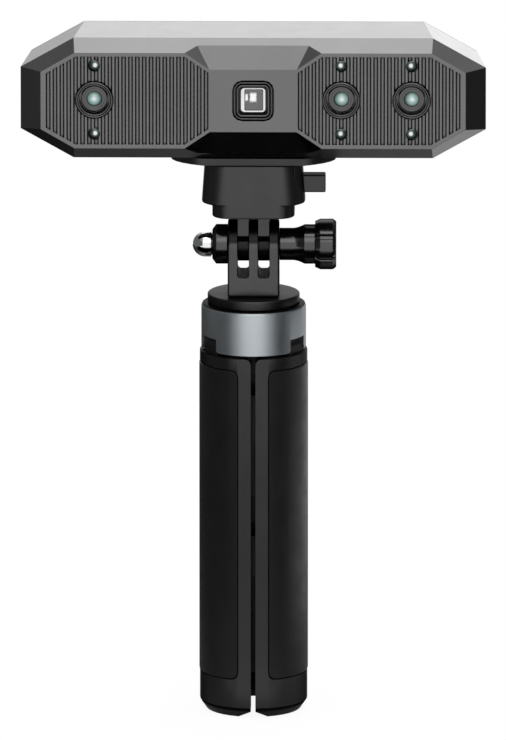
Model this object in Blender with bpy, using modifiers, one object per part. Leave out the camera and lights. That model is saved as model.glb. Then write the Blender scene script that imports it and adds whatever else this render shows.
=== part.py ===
"""Handheld three-d scanner on a folding mini tripod, in metres, +Z up, its front facing -Y.

The origin is on the tripod's axis, on the surface it stands on. Each group of pieces is written in
its own frame: the scanner about the tilt axis, a leg about the handle's axis with the leg towards +X.
"""

import math

import bmesh
import bpy

# Fits shared by all pieces
FIT = 0.0003  # gap between pieces that touch
OVERRUN = 0.001  # how far a cutter passes the face that it cuts
WELD = 0.00001  # merging distance
FINE_STEPS = 32  # facets round a large circle
STEPS = 20
SMALL_STEPS = 10

# Legs and their pads
LEG_RADIUS = 0.0163
LEG_TOP = 0.1116
LEG_GAP = 0.0014  # between two folded legs
LEG_INNER = 0.0040  # inner face, from the handle's axis
LEG_WALL = 0.0018  # side wall
LEG_POCKET_RADIUS = 0.0139
LEG_MOUTH = 0.0038  # width of the hollow's way out to the inner face
LEG_TOP_ROUND = 0.0018
LEG_ARC_STEPS = 8
POCKET_LOW_TOP = 0.0393  # the three pockets, bottom to top
POCKET_MIDDLE_LOW = 0.0520
POCKET_MIDDLE_HIGH = 0.0644
POCKET_UPPER_HEIGHT = 0.0116
POCKET_UPPER_ROOF = 0.0041  # leg above the upper pocket
PAD_LOW = 0.0121
PAD_SHOULDER = 0.0038  # leg above the pad
PAD_ANGLE = 42.7  # degrees either side of the leg's middle
PAD_THICKNESS = 0.0012
PAD_PROUD = 0.0002
PAD_CORNER = 0.0020
PAD_ARC_STEPS = 8
FOOT_HEIGHT = 0.0028
FOOT_CHAMFER = 0.0020  # radial
FOOT_SIDE_HEIGHT = 0.0019
FOOT_SIDE_CHAMFER = 0.0037
FOOT_LIP_HEIGHT = 0.0040
FOOT_LIP_WALL = 0.0010

# Leg hinge
PIN_REACH = 0.0128  # from the handle's axis
PIN_RISE = 0.0027  # above the leg's shoulder
PIN_RADIUS = 0.0010
PIN_LENGTH = 0.0112
LUG_HALF_WIDTH = 0.0036
LUG_RADIUS = 0.0021
LUG_ROOT = 0.0034  # how far the lug runs down into the leg
TROUGH_RADIUS = 0.0033
TROUGH_HALF_WIDTH = 0.0065
LEG_ANGLES = {"right": -30, "left": -150, "rear": 90}

# Collar, stud and disc
COLLAR_RADIUS = 0.01585
COLLAR_HEIGHT = 0.0134
COLLAR_LIFT = 0.0010  # gap above the legs
COLLAR_ROUND = 0.0008
NOTCH_HALF_WIDTH = 0.0040
NOTCH_HEIGHT = 0.0041
NOTCH_FLOOR = 0.0095  # from the handle's axis
NOTCH_ROUND = 0.0010
STUD_RADIUS = 0.0031
STUD_LENGTH = 0.0138
STUD_HEAD_RADIUS = 0.0055
STUD_HEAD_HEIGHT = 0.0025
STUD_WEB = 0.0055  # metal between the stud's head and the collar's top
WELL_RADIUS = 0.0080
DISC_RADIUS = 0.0140
DISC_THICKNESS = 0.0025
DISC_ROUND = 0.0004

# Three-prong bracket
BRACKET_WIDTH = 0.0156
BRACKET_HALF_DEPTH = 0.0072
BRACKET_BEVEL = 0.0004
AXIS_ABOVE_BRACKET = 0.0149
FINGER_PITCH = 0.0062
SLOT_WIDTH = 0.0035
SLOT_DEPTH = 0.0091  # below the tilt axis
SLOT_CORNER = 0.0008
BOLT_RADIUS = 0.0025

# Nut holder, cap nut and thumb knob
NUT_HOLDER_RADIUS = 0.00603
NUT_HOLDER_LENGTH = 0.0044
NUT_HOLDER_CHAMFER = 0.0011
NUT_HOLDER_FACE_RADIUS = 0.0046
CAP_NUT_RADIUS = 0.0039
CAP_NUT_REACH = 0.0185  # to its tip, from the middle of the joint
CAP_NUT_SKIRT_RADIUS = 0.0034
CAP_NUT_DEPTH = 0.0030  # how far it stands in the holder
KNOB_NECK_RADIUS = 0.0049
KNOB_COLLAR_RADIUS = 0.0060
KNOB_NECK_LENGTH = 0.0040
KNOB_FLARE_LENGTH = 0.0033
KNOB_COLLAR_LENGTH = 0.0032
KNOB_HEAD_RADIUS = 0.0077
KNOB_HEAD_LENGTH = 0.0064
KNOB_BACK_CHAMFER = 0.0007
KNOB_FRONT_CHAMFER = 0.0010
KNOB_CHAMFER_RUN = 0.0005
KNOB_LOBES = 7
KNOB_GROOVE_DEPTH = 0.0010
KNOB_LOBE_SHARE = 0.74  # share of the turn that a lobe takes
KNOB_WALL_SHARE = 0.05  # and each wall of a groove
KNOB_FLARE_SHARES = (1, 0.75, 0.5, 0.25, 0)
KNOB_FLARE_POWER = 1.6
KNOB_PHASE = -80.3  # degrees, puts a groove 16 degrees above the front
KNOB_BORE_LENGTH = 0.0120

# Receiver of the quick release
RECEIVER_BOTTOM = 0.0098  # heights from the tilt axis
RECEIVER_STEP = 0.0137
RECEIVER_TOP = 0.0261
RECEIVER_HALF_DEPTH = 0.0100
RECEIVER_TOP_HALF_WIDTH = 0.0148
RECEIVER_STEP_HALF_WIDTH = 0.01565
RECEIVER_CORNER = 0.0062
RECEIVER_BASE_HALF_WIDTH = 0.01245
RECEIVER_BASE_CORNER = 0.0037
FINGER_THICKNESS = 0.0029
FINGER_HALF_DEPTH = 0.0065
FINGER_SHOULDER = 0.0038
FINGER_RADIUS = 0.0051
FINGER_TURN = 20  # degrees that its round end goes past half a turn, each side
BUTTON_BOTTOM = 0.0165
BUTTON_HEIGHT = 0.0054
BUTTON_HALF_DEPTH = 0.00245
BUTTON_REACH = 0.0218
BUTTON_ROUND = 0.0004
LATCH_SPAN = 0.0093  # far side of the latch ring, from the middle
LATCH_RIGHT = 0.0120
LATCH_ARM = 0.0015
LATCH_NOSE = 0.0008  # overlap with the foot
LATCH_NOSE_HEIGHT = 0.0020
LATCH_COVER_THICKNESS = 0.0012
LATCH_WALL = 0.0014
SPRING_RADIUS = 0.0015
SPRING_WIRE_RADIUS = 0.00025
SPRING_TURNS = 4
SPRING_TURN_POINTS = 8

# Flange and foot under the head
FLANGE_HALF_LENGTH = 0.0250
FLANGE_HALF_WIDTH = 0.0143
FLANGE_FLAT = 0.0113
FLANGE_THICKNESS = 0.00215
FOOT_HALF_LENGTH = 0.0070
FOOT_HALF_DEPTH = 0.0060
FOOT_REACH = 0.0112  # below the flange
MOUNT_SCREW_RADIUS = 0.0031
MOUNT_SCREW_HEAD_RADIUS = 0.0048
MOUNT_SCREW_HEAD_HEIGHT = 0.0030
MOUNT_SCREW_GRIP = 0.0070  # how far it goes into the head
MOUNT_BOSS_RADIUS = 0.0050
SOCKET_RADIUS = 0.0018
SOCKET_DEPTH = 0.0016

# Scanner head
HEAD_LIFT = 0.0291  # underside, from the tilt axis
HEAD_HALF_WIDTH = 0.0702
HEAD_HALF_HEIGHT = 0.0185
HEAD_RUN = 0.0160  # corner cut, across and up
HEAD_RISE = 0.0090
HEAD_FRONT = -0.0155
HEAD_BACK = 0.0147
HEAD_TAPER = 0.0028  # each side, towards the back
HEAD_WALL = 0.0020
FRONT_BEVEL = 0.0045  # depth of the front bevel
FACE_SIDE_INSET = 0.0061
FACE_TOP_INSET = 0.00375
FACE_RUN = 0.0102
FACE_RISE = 0.0059
BACK_BEVEL = 0.0020
BACK_LIP_HEIGHT = 0.0022
BACK_LIP_WALL = 0.0014
CENTRE_HALF_WIDTH = 0.0131  # flat middle of the face
CENTRE_HALF_HEIGHT = 0.0096
CENTRE_CORNER_X = 0.0207  # where its bevel meets the top of the face
CENTRE_RIDGE_X = 0.0168  # and the middle of the front bevel
CENTRE_RIDGE_SHARE = 0.5  # share of the front bevel that the centre bevel climbs

# Ribbed windows
WINDOW_LIP = 0.0012
RIB_PITCH = 0.00207
RIB_TOP = 0.00065
RIB_FLOOR = 0.00065
RIB_DEPTH = 0.00065

# Cameras, lights and projector
CAMERA_PLACES = (-0.0479, 0.0266, 0.0478)
CAMERA_RISE = 0.0002  # above the middle of the head
CAMERA_RING_RADIUS = 0.0056
CAMERA_RING_BORE = 0.0045
CAMERA_RING_PROUD = 0.0004
CAMERA_RING_STEP = 0.0003
CAMERA_RING_RIM = 0.0003
CAMERA_RING_DEPTH = 0.0030
CAMERA_BARREL_RADIUS = 0.0041
CAMERA_BARREL_RECESS = 0.0014
CAMERA_BASE_RADIUS = 0.0060
CAMERA_BASE_HEIGHT = 0.0018
CAMERA_LENS_RADIUS = 0.0022
CAMERA_LENS_RISE = 0.0012
CAMERA_LENS_DEPTH = 0.0024
CAMERA_BORE = 0.0025
LIGHT_OFFSET = 0.0105
LIGHT_HOLE = 0.00155
LIGHT_RADIUS = 0.00125
LIGHT_BASE_RADIUS = 0.0019
LIGHT_RECESS = 0.0001
BEZEL_HOLE = 0.0063  # half size of the rounded square that is cut in the face
BEZEL_GAP = 0.0004  # widths of the nested frames and of the gaps, from outside in
BEZEL_LIP = 0.0005
BEZEL_GROOVE = 0.00045
BEZEL_FRAME = 0.0006
RIM_GAP = 0.00065
RIM_WIDTH = 0.0007
BEZEL_CORNER = 0.0026
BEZEL_GROOVE_DEPTH = 0.0006
BEZEL_DEPTH = 0.0040
RIM_CORNER = 0.0011
RIM_SET_BACK = 0.0014
GLASS_SET_BACK = 0.0022
GLASS_LAP = 0.0002
GLASS_THICKNESS = 0.0010
MODULE_HALF = 0.0080

# Inside the head
BENCH_FRONT = -0.0080
BENCH_THICKNESS = 0.0015
BENCH_HALF_WIDTH = 0.0540
BENCH_HALF_HEIGHT = 0.0130
BENCH_POST_X = 0.0350
BENCH_POST_Z = 0.0115
POST_RADIUS = 0.0015
BOARD_FRONT = 0.0070
BOARD_THICKNESS = 0.0016
BOARD_HALF_WIDTH = 0.0500
BOARD_HALF_HEIGHT = 0.0125
SCREW_X = 0.0575
SCREW_Z = 0.0080
SCREW_POST_RADIUS = 0.0028
SCREW_POST_LENGTH = 0.0080
SCREW_RADIUS = 0.0010
SCREW_LENGTH = 0.0070
SCREW_HEAD_RADIUS = 0.0020
SCREW_HEAD_HEIGHT = 0.0008
SCREW_SOCKET_RADIUS = 0.0009
SCAN_BUTTON_X = 0.0300
SCAN_BUTTON_RADIUS = 0.0050
SCAN_BUTTON_PROUD = 0.0004
SCAN_BUTTON_TRAVEL = 0.0008
SCAN_BUTTON_FLANGE = 0.0008
SCAN_BUTTON_CROWN = 0.0004
SCAN_STEM_RADIUS = 0.0014
STATUS_X = 0.0180
STATUS_RADIUS = 0.0010
USB_X = -0.0300
USB_HALF_WIDTH = 0.0045
USB_HALF_HEIGHT = 0.0016
USB_WALL = 0.0004
USB_DEPTH = 0.0042
USB_TONGUE_HALF_WIDTH = 0.0033
USB_TONGUE_HALF_HEIGHT = 0.00035

# Heights worked out from the sizes above
COLLAR_BOTTOM = LEG_TOP + COLLAR_LIFT
COLLAR_TOP = COLLAR_BOTTOM + COLLAR_HEIGHT
DISC_BOTTOM = COLLAR_TOP + FIT
DISC_TOP = DISC_BOTTOM + DISC_THICKNESS
BRACKET_BOTTOM = DISC_TOP + FIT
TILT_HEIGHT = BRACKET_BOTTOM + AXIS_ABOVE_BRACKET
PIN_HEIGHT = LEG_TOP + PIN_RISE
POCKET_UPPER_HIGH = LEG_TOP - POCKET_UPPER_ROOF
POCKET_UPPER_LOW = POCKET_UPPER_HIGH - POCKET_UPPER_HEIGHT
PAD_HIGH = LEG_TOP - PAD_SHOULDER
BEZEL_OUTER = BEZEL_HOLE - BEZEL_GAP
BEZEL_GROOVE_OUTER = BEZEL_OUTER - BEZEL_LIP
BEZEL_GROOVE_INNER = BEZEL_GROOVE_OUTER - BEZEL_GROOVE
BEZEL_INNER = BEZEL_GROOVE_INNER - BEZEL_FRAME
RIM_OUTER = BEZEL_INNER - RIM_GAP
RIM_INNER = RIM_OUTER - RIM_WIDTH
HEAD_MIDDLE = HEAD_LIFT + HEAD_HALF_HEIGHT
CAMERA_ROW = HEAD_MIDDLE + CAMERA_RISE
FLANGE_TOP = HEAD_LIFT - FIT
FLANGE_BOTTOM = FLANGE_TOP - FLANGE_THICKNESS
FOOT_BOTTOM = FLANGE_BOTTOM - FOOT_REACH
SEAM = HEAD_BACK - BACK_BEVEL  # where the two shells meet
BRACKET_SIDE = BRACKET_WIDTH / 2

TURNS = {"X": (math.pi / 2, 0, math.pi / 2), "Y": (math.pi / 2, 0, 0), "Z": (0, 0, 0)}
CORNER_SIGNS = ((1, 1), (-1, 1), (-1, -1), (1, -1))


def clear_scene():
    for obj in list(bpy.data.objects):
        bpy.data.objects.remove(obj)


def new_collection(name):
    group = bpy.data.collections.new(name)
    bpy.context.scene.collection.children.link(group)
    return group


clear_scene()
PIECES = new_collection("three_d_scanner")
CUTTERS = new_collection("cutters")


def finish(name, colour, roughness, metallic=0):
    """A plain material for one kind of surface."""
    look = bpy.data.materials.new(name)
    look.use_nodes = True
    shader = look.node_tree.nodes["Principled BSDF"]
    shader.inputs["Base Color"].default_value = (*colour, 1)
    shader.inputs["Roughness"].default_value = roughness
    shader.inputs["Metallic"].default_value = metallic
    return look


HEAD_PAINT = finish("head_paint", (0.11, 0.11, 0.115), 0.42, 0.35)
BLACK_PLASTIC = finish("black_plastic", (0.03, 0.03, 0.032), 0.45)
GLOSS_BLACK = finish("gloss_black", (0.012, 0.012, 0.013), 0.25)
GREY_PLASTIC = finish("grey_plastic", (0.07, 0.07, 0.075), 0.5)
RUBBER = finish("rubber", (0.022, 0.022, 0.024), 0.8)
ANODISED = finish("anodised", (0.19, 0.22, 0.25), 0.3, 0.9)
CHROME = finish("chrome", (0.75, 0.76, 0.78), 0.08, 1)
STEEL = finish("steel", (0.45, 0.45, 0.46), 0.3, 1)
DARK_GLASS = finish("dark_glass", (0.05, 0.1, 0.1), 0.05)
BRIGHT_RIM = finish("bright_rim", (0.8, 0.8, 0.8), 0.2, 0.6)
BOARD_GREEN = finish("board_green", (0.02, 0.12, 0.05), 0.5)
ALUMINIUM = finish("aluminium", (0.6, 0.6, 0.62), 0.35, 1)
LIGHT_PIPE = finish("light_pipe", (0.7, 0.75, 0.72), 0.3)


def axis_empty(name, place, turn=0):
    """An empty on a joint's axis, turned about Z by degrees."""
    empty = bpy.data.objects.new(name, None)
    empty.location = place
    empty.rotation_euler = (0, 0, math.radians(turn))
    CUTTERS.objects.link(empty)
    return empty


def add_object(name, data, look, place=(0, 0, 0), axis="Z", parent=None):
    """Links a piece, or a cutter where no material is given."""
    obj = bpy.data.objects.new(name, data)
    obj.location = place
    obj.rotation_euler = TURNS[axis]
    obj.parent = parent
    if look is None:
        obj.hide_render = True
        obj.display_type = "WIRE"
        CUTTERS.objects.link(obj)
        return obj
    PIECES.objects.link(obj)
    data.materials.append(look)
    return obj


def smooth(obj, angle=30):
    obj.data.shade_smooth()
    obj.data.set_sharp_from_angle(angle=math.radians(angle))
    return obj


def mesh_from(bm, name):
    mesh = bpy.data.meshes.new(name)
    bm.to_mesh(mesh)
    bm.free()
    return mesh


def box(name, low, high, look=None, parent=None):
    """A box between two opposite corners."""
    sides = [b - a for a, b in zip(low, high)]
    middle = [(a + b) / 2 for a, b in zip(low, high)]
    bm = bmesh.new()
    bmesh.ops.create_cube(bm, size=1)
    bmesh.ops.scale(bm, vec=sides, verts=bm.verts)
    return add_object(name, mesh_from(bm, name), look, middle, "Z", parent)


def rod(name, radius, start, end, look=None, centre=(0, 0), axis="Z", steps=STEPS, parent=None):
    """A cylinder along an axis between two places on it; centre is the other two coordinates."""
    bm = bmesh.new()
    length = end - start
    bmesh.ops.create_cone(
        bm, cap_ends=True, segments=steps, radius1=radius, radius2=radius, depth=length
    )
    middle = (start + end) / 2
    place = {
        "X": (middle, centre[0], centre[1]),
        "Y": (centre[0], middle, centre[1]),
        "Z": (centre[0], centre[1], middle),
    }[axis]
    return smooth(add_object(name, mesh_from(bm, name), look, place, axis, parent))


def arc(centre, radius, start, end, steps):
    """Points on an arc, with its angles in degrees."""
    points = []
    for step in range(steps + 1):
        angle = math.radians(start + (end - start) * step / steps)
        points.append((centre[0] + radius * math.cos(angle), centre[1] + radius * math.sin(angle)))
    return points


def turned(name, profile, look, place=(0, 0, 0), axis="Z", steps=STEPS, parent=None):
    """A profile of (radius, height), from the top down its outer side, turned about an axis.

    A profile that leaves the axis free is closed into a ring.
    """
    mesh = bpy.data.meshes.new(name)
    edges = [(i, i + 1) for i in range(len(profile) - 1)]
    if profile[0][0] > 0:
        edges.append((len(profile) - 1, 0))
    mesh.from_pydata([(radius, 0, height) for radius, height in profile], edges, [])
    obj = add_object(name, mesh, look, place, axis, parent)
    screw = obj.modifiers.new("turn", "SCREW")
    screw.steps = steps
    screw.render_steps = steps
    screw.use_merge_vertices = True
    screw.merge_threshold = WELD
    screw.use_smooth_shade = True
    return obj


def slab(name, outlines, low, high, look, axis="Z", parent=None):
    """Flat outlines, the later ones holes in the first, filled and given a thickness."""
    curve = bpy.data.curves.new(name, "CURVE")
    curve.dimensions = "2D"
    curve.fill_mode = "BOTH"
    curve.extrude = (high - low) / 2
    for outline in outlines:
        spline = curve.splines.new("POLY")
        spline.points.add(len(outline) - 1)
        for point, (u, v) in zip(spline.points, outline):
            point.co = (u, v, 0, 1)
        spline.use_cyclic_u = True
    maker = bpy.data.objects.new(name, curve)
    CUTTERS.objects.link(maker)
    mesh = solid_mesh(maker)
    middle = (low + high) / 2
    place = {"X": (middle, 0, 0), "Y": (0, middle, 0), "Z": (0, 0, middle)}[axis]
    return add_object(name, mesh, look, place, axis, parent)


def solid_mesh(maker):
    """A curve's closed mesh; the curve is removed."""
    bpy.context.view_layer.update()
    shape = bpy.data.meshes.new_from_object(maker.evaluated_get(bpy.context.evaluated_depsgraph_get()))
    bpy.data.objects.remove(maker)
    bm = bmesh.new()
    bm.from_mesh(shape)
    bmesh.ops.remove_doubles(bm, verts=bm.verts, dist=WELD)
    bmesh.ops.recalc_face_normals(bm, faces=bm.faces)
    bm.to_mesh(shape)
    bm.free()
    return shape


def loft(name, sections, look, axis="Y", parent=None):
    """A skin through outlines of equal point counts, each with its place along the axis."""
    bm = bmesh.new()
    rings = []
    for along, outline in sections:
        ring = []
        for u, v in outline:
            point = {"X": (along, u, v), "Y": (u, along, v), "Z": (u, v, along)}[axis]
            ring.append(bm.verts.new(point))
        rings.append(ring)
    skin(bm, rings)
    bmesh.ops.recalc_face_normals(bm, faces=bm.faces)
    return add_object(name, mesh_from(bm, name), look, parent=parent)


def skin(bm, rings):
    """Side faces between rings of vertices, and a cap on each end."""
    for near, far in zip(rings, rings[1:]):
        for i, vertex in enumerate(near):
            after = (i + 1) % len(near)
            bm.faces.new((vertex, near[after], far[after], far[i]))
    bm.faces.new(rings[0])
    bm.faces.new(rings[-1])


def boolean(obj, tool, operation):
    modifier = obj.modifiers.new(tool.name, "BOOLEAN")
    modifier.operation = operation
    modifier.object = tool
    modifier.solver = "EXACT"


def cut(obj, *tools):
    for tool in tools:
        boolean(obj, tool, "DIFFERENCE")
    return obj


def join(obj, *tools):
    for tool in tools:
        boolean(obj, tool, "UNION")
    return obj


def bevel(obj, width, segments=2, angle=40):
    modifier = obj.modifiers.new("edges", "BEVEL")
    modifier.width = width
    modifier.segments = segments
    modifier.limit_method = "ANGLE"
    modifier.angle_limit = math.radians(angle)
    return obj


def rounded_box(half_u, half_v, corner, steps=3):
    """The outline of a rectangle with round corners."""
    points = []
    for quarter, (sign_u, sign_v) in enumerate(CORNER_SIGNS):
        centre = (sign_u * (half_u - corner), sign_v * (half_v - corner))
        points += arc(centre, corner, 90 * quarter, 90 * quarter + 90, steps)
    return points


def octagon(shape, middle=HEAD_MIDDLE):
    """The eight points of a rectangle whose corners are cut by a run and a rise."""
    half_width, half_height, run, rise = shape
    points = []
    for sign_u, sign_v in CORNER_SIGNS:
        side = (sign_u * half_width, middle + sign_v * (half_height - rise))
        top = (sign_u * (half_width - run), middle + sign_v * half_height)
        points += [side, top] if sign_u * sign_v > 0 else [top, side]
    return points


def inset(shape, wall):
    """The octagon whose every side lies one wall further in."""
    half_width, half_height, run, rise = shape
    slope = math.hypot(run, rise)
    inner_run = run - wall + wall * (slope - run) / rise
    inner_rise = rise - wall + wall * (slope - rise) / run
    return (half_width - wall, half_height - wall, inner_run, inner_rise)


HEAD_SHAPE = (HEAD_HALF_WIDTH, HEAD_HALF_HEIGHT, HEAD_RUN, HEAD_RISE)
FACE_SHAPE = (HEAD_HALF_WIDTH - FACE_SIDE_INSET, HEAD_HALF_HEIGHT - FACE_TOP_INSET, FACE_RUN, FACE_RISE)
SEAM_SHAPE = (HEAD_HALF_WIDTH - HEAD_TAPER, HEAD_HALF_HEIGHT, HEAD_RUN, HEAD_RISE)

TRIPOD = axis_empty("tripod_axis", (0, 0, 0))
MOUNT = axis_empty("swivel_axis", (0, 0, TILT_HEIGHT))
CLAMP = axis_empty("clamp_axis", (0, 0, TILT_HEIGHT))
SCANNER = axis_empty("tilt_axis", (0, 0, TILT_HEIGHT))


def window_shape():
    """A ribbed window: its middle, half width and half height."""
    inner = CENTRE_HALF_WIDTH
    outer = FACE_SHAPE[0] - WINDOW_LIP
    half_height = FACE_SHAPE[1] - WINDOW_LIP
    return (inner + outer) / 2, (outer - inner) / 2, half_height


def window_outline(side):
    """The window's eight points: its outer corners follow the face, its inner ones the centre."""
    middle, half_width, half_height = window_shape()
    _, _, run, rise = inset(FACE_SHAPE, WINDOW_LIP)
    inner_run = CENTRE_CORNER_X - CENTRE_HALF_WIDTH
    inner_rise = FACE_SHAPE[1] - CENTRE_HALF_HEIGHT
    points = [
        (middle + half_width, half_height - rise),
        (middle + half_width - run, half_height),
        (middle - half_width + inner_run, half_height),
        (middle - half_width, half_height - inner_rise),
    ]
    points += [(u, -v) for u, v in reversed(points)]
    return [(side * u, HEAD_MIDDLE + v) for u, v in points]


def groove_prisms(side):
    """All the grooves of one window as tapered bars, wider at the face than at their floor."""
    middle, half_width, half_height = window_shape()
    count = round(2 * half_width / RIB_PITCH)
    mouth = (RIB_PITCH - RIB_TOP) / 2
    levels = ((-OVERRUN, mouth), (0, mouth), (RIB_DEPTH, RIB_FLOOR / 2))
    reach = half_height + OVERRUN
    bm = bmesh.new()
    for number in range(count):
        centre = side * (middle + (number - (count - 1) / 2) * RIB_PITCH)
        rings = []
        for depth, half in levels:
            along = HEAD_FRONT + depth
            corners = [(u * half, v * reach) for u, v in CORNER_SIGNS]
            rings.append([bm.verts.new((centre + u, along, HEAD_MIDDLE + v)) for u, v in corners])
        skin(bm, rings)
    bmesh.ops.recalc_face_normals(bm, faces=bm.faces)
    return add_object("grooves", mesh_from(bm, "grooves"), None, parent=SCANNER)


def window_grooves(side):
    """The grooves of one window, ending at its eight-sided outline."""
    grooves = groove_prisms(side)
    window = slab(
        "window", [window_outline(side)], HEAD_FRONT - 2 * OVERRUN, HEAD_FRONT + 2 * RIB_DEPTH, None, "Y",
        SCANNER,
    )
    boolean(grooves, window, "INTERSECT")
    return grooves


def centre_bevel(sign):
    """The wedge that cuts the steep bevel above or below the flat centre of the face."""
    ridge_depth = FRONT_BEVEL * CENTRE_RIDGE_SHARE
    ridge_rise = FACE_SHAPE[1] + FACE_TOP_INSET * CENTRE_RIDGE_SHARE - CENTRE_HALF_HEIGHT
    ridge_spread = CENTRE_RIDGE_X - CENTRE_HALF_WIDTH
    flare = (CENTRE_CORNER_X - CENTRE_HALF_WIDTH) / (FACE_SHAPE[1] - CENTRE_HALF_HEIGHT)
    top = HEAD_HALF_HEIGHT + ridge_rise
    sections = []
    for share in (-1, 2):
        low = CENTRE_HALF_HEIGHT + ridge_rise * share
        half = CENTRE_HALF_WIDTH + ridge_spread * share
        wide = half + (top - low) * flare
        corners = [(half, low), (wide, top), (-wide, top), (-half, low)]
        outline = [(u, HEAD_MIDDLE + sign * v) for u, v in corners]
        sections.append((HEAD_FRONT + ridge_depth * share, outline))
    return loft("centre_bevel", sections, None, parent=SCANNER)


def shell_cavity():
    """The hollow of the front shell, open at the back."""
    sections = [
        (HEAD_FRONT + HEAD_WALL, octagon(inset(FACE_SHAPE, HEAD_WALL))),
        (HEAD_FRONT + FRONT_BEVEL + HEAD_WALL, octagon(inset(HEAD_SHAPE, HEAD_WALL))),
        (SEAM + OVERRUN, octagon(inset(SEAM_SHAPE, HEAD_WALL))),
    ]
    return loft("shell_cavity", sections, None, parent=SCANNER)


def make_front_shell():
    sections = [
        (HEAD_FRONT, octagon(FACE_SHAPE)),
        (HEAD_FRONT + FRONT_BEVEL, octagon(HEAD_SHAPE)),
        (SEAM, octagon(SEAM_SHAPE)),
    ]
    shell = loft("front_shell", sections, HEAD_PAINT, parent=SCANNER)
    cut(shell, centre_bevel(1), centre_bevel(-1), shell_cavity())
    inner_face = HEAD_FRONT + HEAD_WALL
    for sign_x, sign_z in CORNER_SIGNS:
        post_place = (sign_x * BENCH_POST_X, HEAD_MIDDLE + sign_z * BENCH_POST_Z)
        post = rod(
            "bench_stop", POST_RADIUS, inner_face - OVERRUN, BENCH_FRONT - FIT, None, post_place, "Y",
            SMALL_STEPS, SCANNER,
        )
        join(shell, post)
        screw_place = (sign_x * SCREW_X, HEAD_MIDDLE + sign_z * SCREW_Z)
        back = SEAM - BACK_LIP_HEIGHT - FIT
        boss = rod(
            "screw_post", SCREW_POST_RADIUS, inner_face - OVERRUN, back, None, screw_place, "Y",
            SMALL_STEPS, SCANNER,
        )
        hole = rod(
            "screw_hole", SCREW_RADIUS + FIT, back - SCREW_POST_LENGTH, back + OVERRUN, None, screw_place,
            "Y", SMALL_STEPS, SCANNER,
        )
        join(shell, boss)
        cut(shell, hole)
    boss = rod(
        "mount_boss", MOUNT_BOSS_RADIUS, HEAD_LIFT + HEAD_WALL / 2, HEAD_LIFT + MOUNT_SCREW_GRIP + HEAD_WALL,
        None, steps=STEPS, parent=SCANNER,
    )
    hole = rod(
        "mount_hole", MOUNT_SCREW_RADIUS + FIT, HEAD_LIFT - OVERRUN, HEAD_LIFT + MOUNT_SCREW_GRIP + FIT, None,
        steps=STEPS, parent=SCANNER,
    )
    join(shell, boss)
    cut(shell, hole, window_grooves(-1), window_grooves(1))
    through = HEAD_FRONT + HEAD_WALL + OVERRUN
    for x in CAMERA_PLACES:
        cut(shell, rod(
            "camera_hole", CAMERA_RING_RADIUS + FIT, HEAD_FRONT - OVERRUN, through, None, (x, CAMERA_ROW),
            "Y", STEPS, SCANNER,
        ))
        for sign in (1, -1):
            place = (x, CAMERA_ROW + sign * LIGHT_OFFSET)
            cut(shell, rod(
                "light_hole", LIGHT_HOLE, HEAD_FRONT - OVERRUN, through, None, place, "Y", SMALL_STEPS,
                SCANNER,
            ))
    corner = BEZEL_CORNER + BEZEL_HOLE - BEZEL_OUTER
    outline = [(u, HEAD_MIDDLE + v) for u, v in rounded_box(BEZEL_HOLE, BEZEL_HOLE, corner)]
    cut(shell, slab("projector_hole", [outline], HEAD_FRONT - OVERRUN, through, None, "Y", SCANNER))
    return shell


def make_rear_shell():
    outer = (SEAM_SHAPE[0] - BACK_BEVEL, SEAM_SHAPE[1] - BACK_BEVEL, SEAM_SHAPE[2], SEAM_SHAPE[3])
    sections = [(SEAM + FIT, octagon(SEAM_SHAPE)), (HEAD_BACK, octagon(outer))]
    shell = loft("rear_shell", sections, HEAD_PAINT, parent=SCANNER)
    lip = inset(SEAM_SHAPE, HEAD_WALL + FIT)
    lip_front = SEAM - BACK_LIP_HEIGHT
    ring = loft(
        "rear_lip", [(lip_front, octagon(lip)), (HEAD_BACK - BACK_BEVEL / 2, octagon(lip))], None,
        parent=SCANNER,
    )
    hollow = inset(lip, BACK_LIP_WALL)
    sections = [(lip_front - OVERRUN, octagon(hollow)), (SEAM, octagon(hollow))]
    join(shell, ring)
    cut(shell, loft("rear_hollow", sections, None, parent=SCANNER))
    back = HEAD_BACK + OVERRUN
    board_back = BOARD_FRONT + BOARD_THICKNESS + FIT
    for sign_x, sign_z in CORNER_SIGNS:
        place = (sign_x * BENCH_POST_X, HEAD_MIDDLE + sign_z * BENCH_POST_Z)
        post = rod("board_post", POST_RADIUS, board_back, SEAM + FIT, None, place, "Y", SMALL_STEPS, SCANNER)
        join(shell, post)
        place = (sign_x * SCREW_X, HEAD_MIDDLE + sign_z * SCREW_Z)
        boss = rod(
            "screw_seat", SCREW_HEAD_RADIUS + HEAD_WALL / 2, lip_front, SEAM + FIT, None, place, "Y",
            SMALL_STEPS, SCANNER,
        )
        hole = rod(
            "screw_way", SCREW_RADIUS + FIT, lip_front - OVERRUN, back, None, place, "Y", SMALL_STEPS, SCANNER
        )
        well = rod(
            "screw_well", SCREW_HEAD_RADIUS + FIT, HEAD_BACK - SCREW_HEAD_HEIGHT - 2 * FIT, back, None, place,
            "Y", SMALL_STEPS, SCANNER,
        )
        join(shell, boss)
        cut(shell, hole, well)
    button = (SCAN_BUTTON_X, HEAD_MIDDLE)
    status = (STATUS_X, HEAD_MIDDLE)
    cut(
        shell,
        rod("button_way", SCAN_BUTTON_RADIUS + FIT, SEAM - OVERRUN, back, None, button, "Y", STEPS, SCANNER),
        rod("status_way", STATUS_RADIUS + FIT, SEAM - OVERRUN, back, None, status, "Y", SMALL_STEPS, SCANNER),
    )
    half_width = USB_HALF_WIDTH + FIT
    half_height = USB_HALF_HEIGHT + FIT
    outline = rounded_box(half_width, half_height, half_height)
    outline = [(USB_X + u, HEAD_MIDDLE + v) for u, v in outline]
    cut(shell, slab("usb_way", [outline], SEAM - OVERRUN, back, None, "Y", SCANNER))
    return shell


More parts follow.
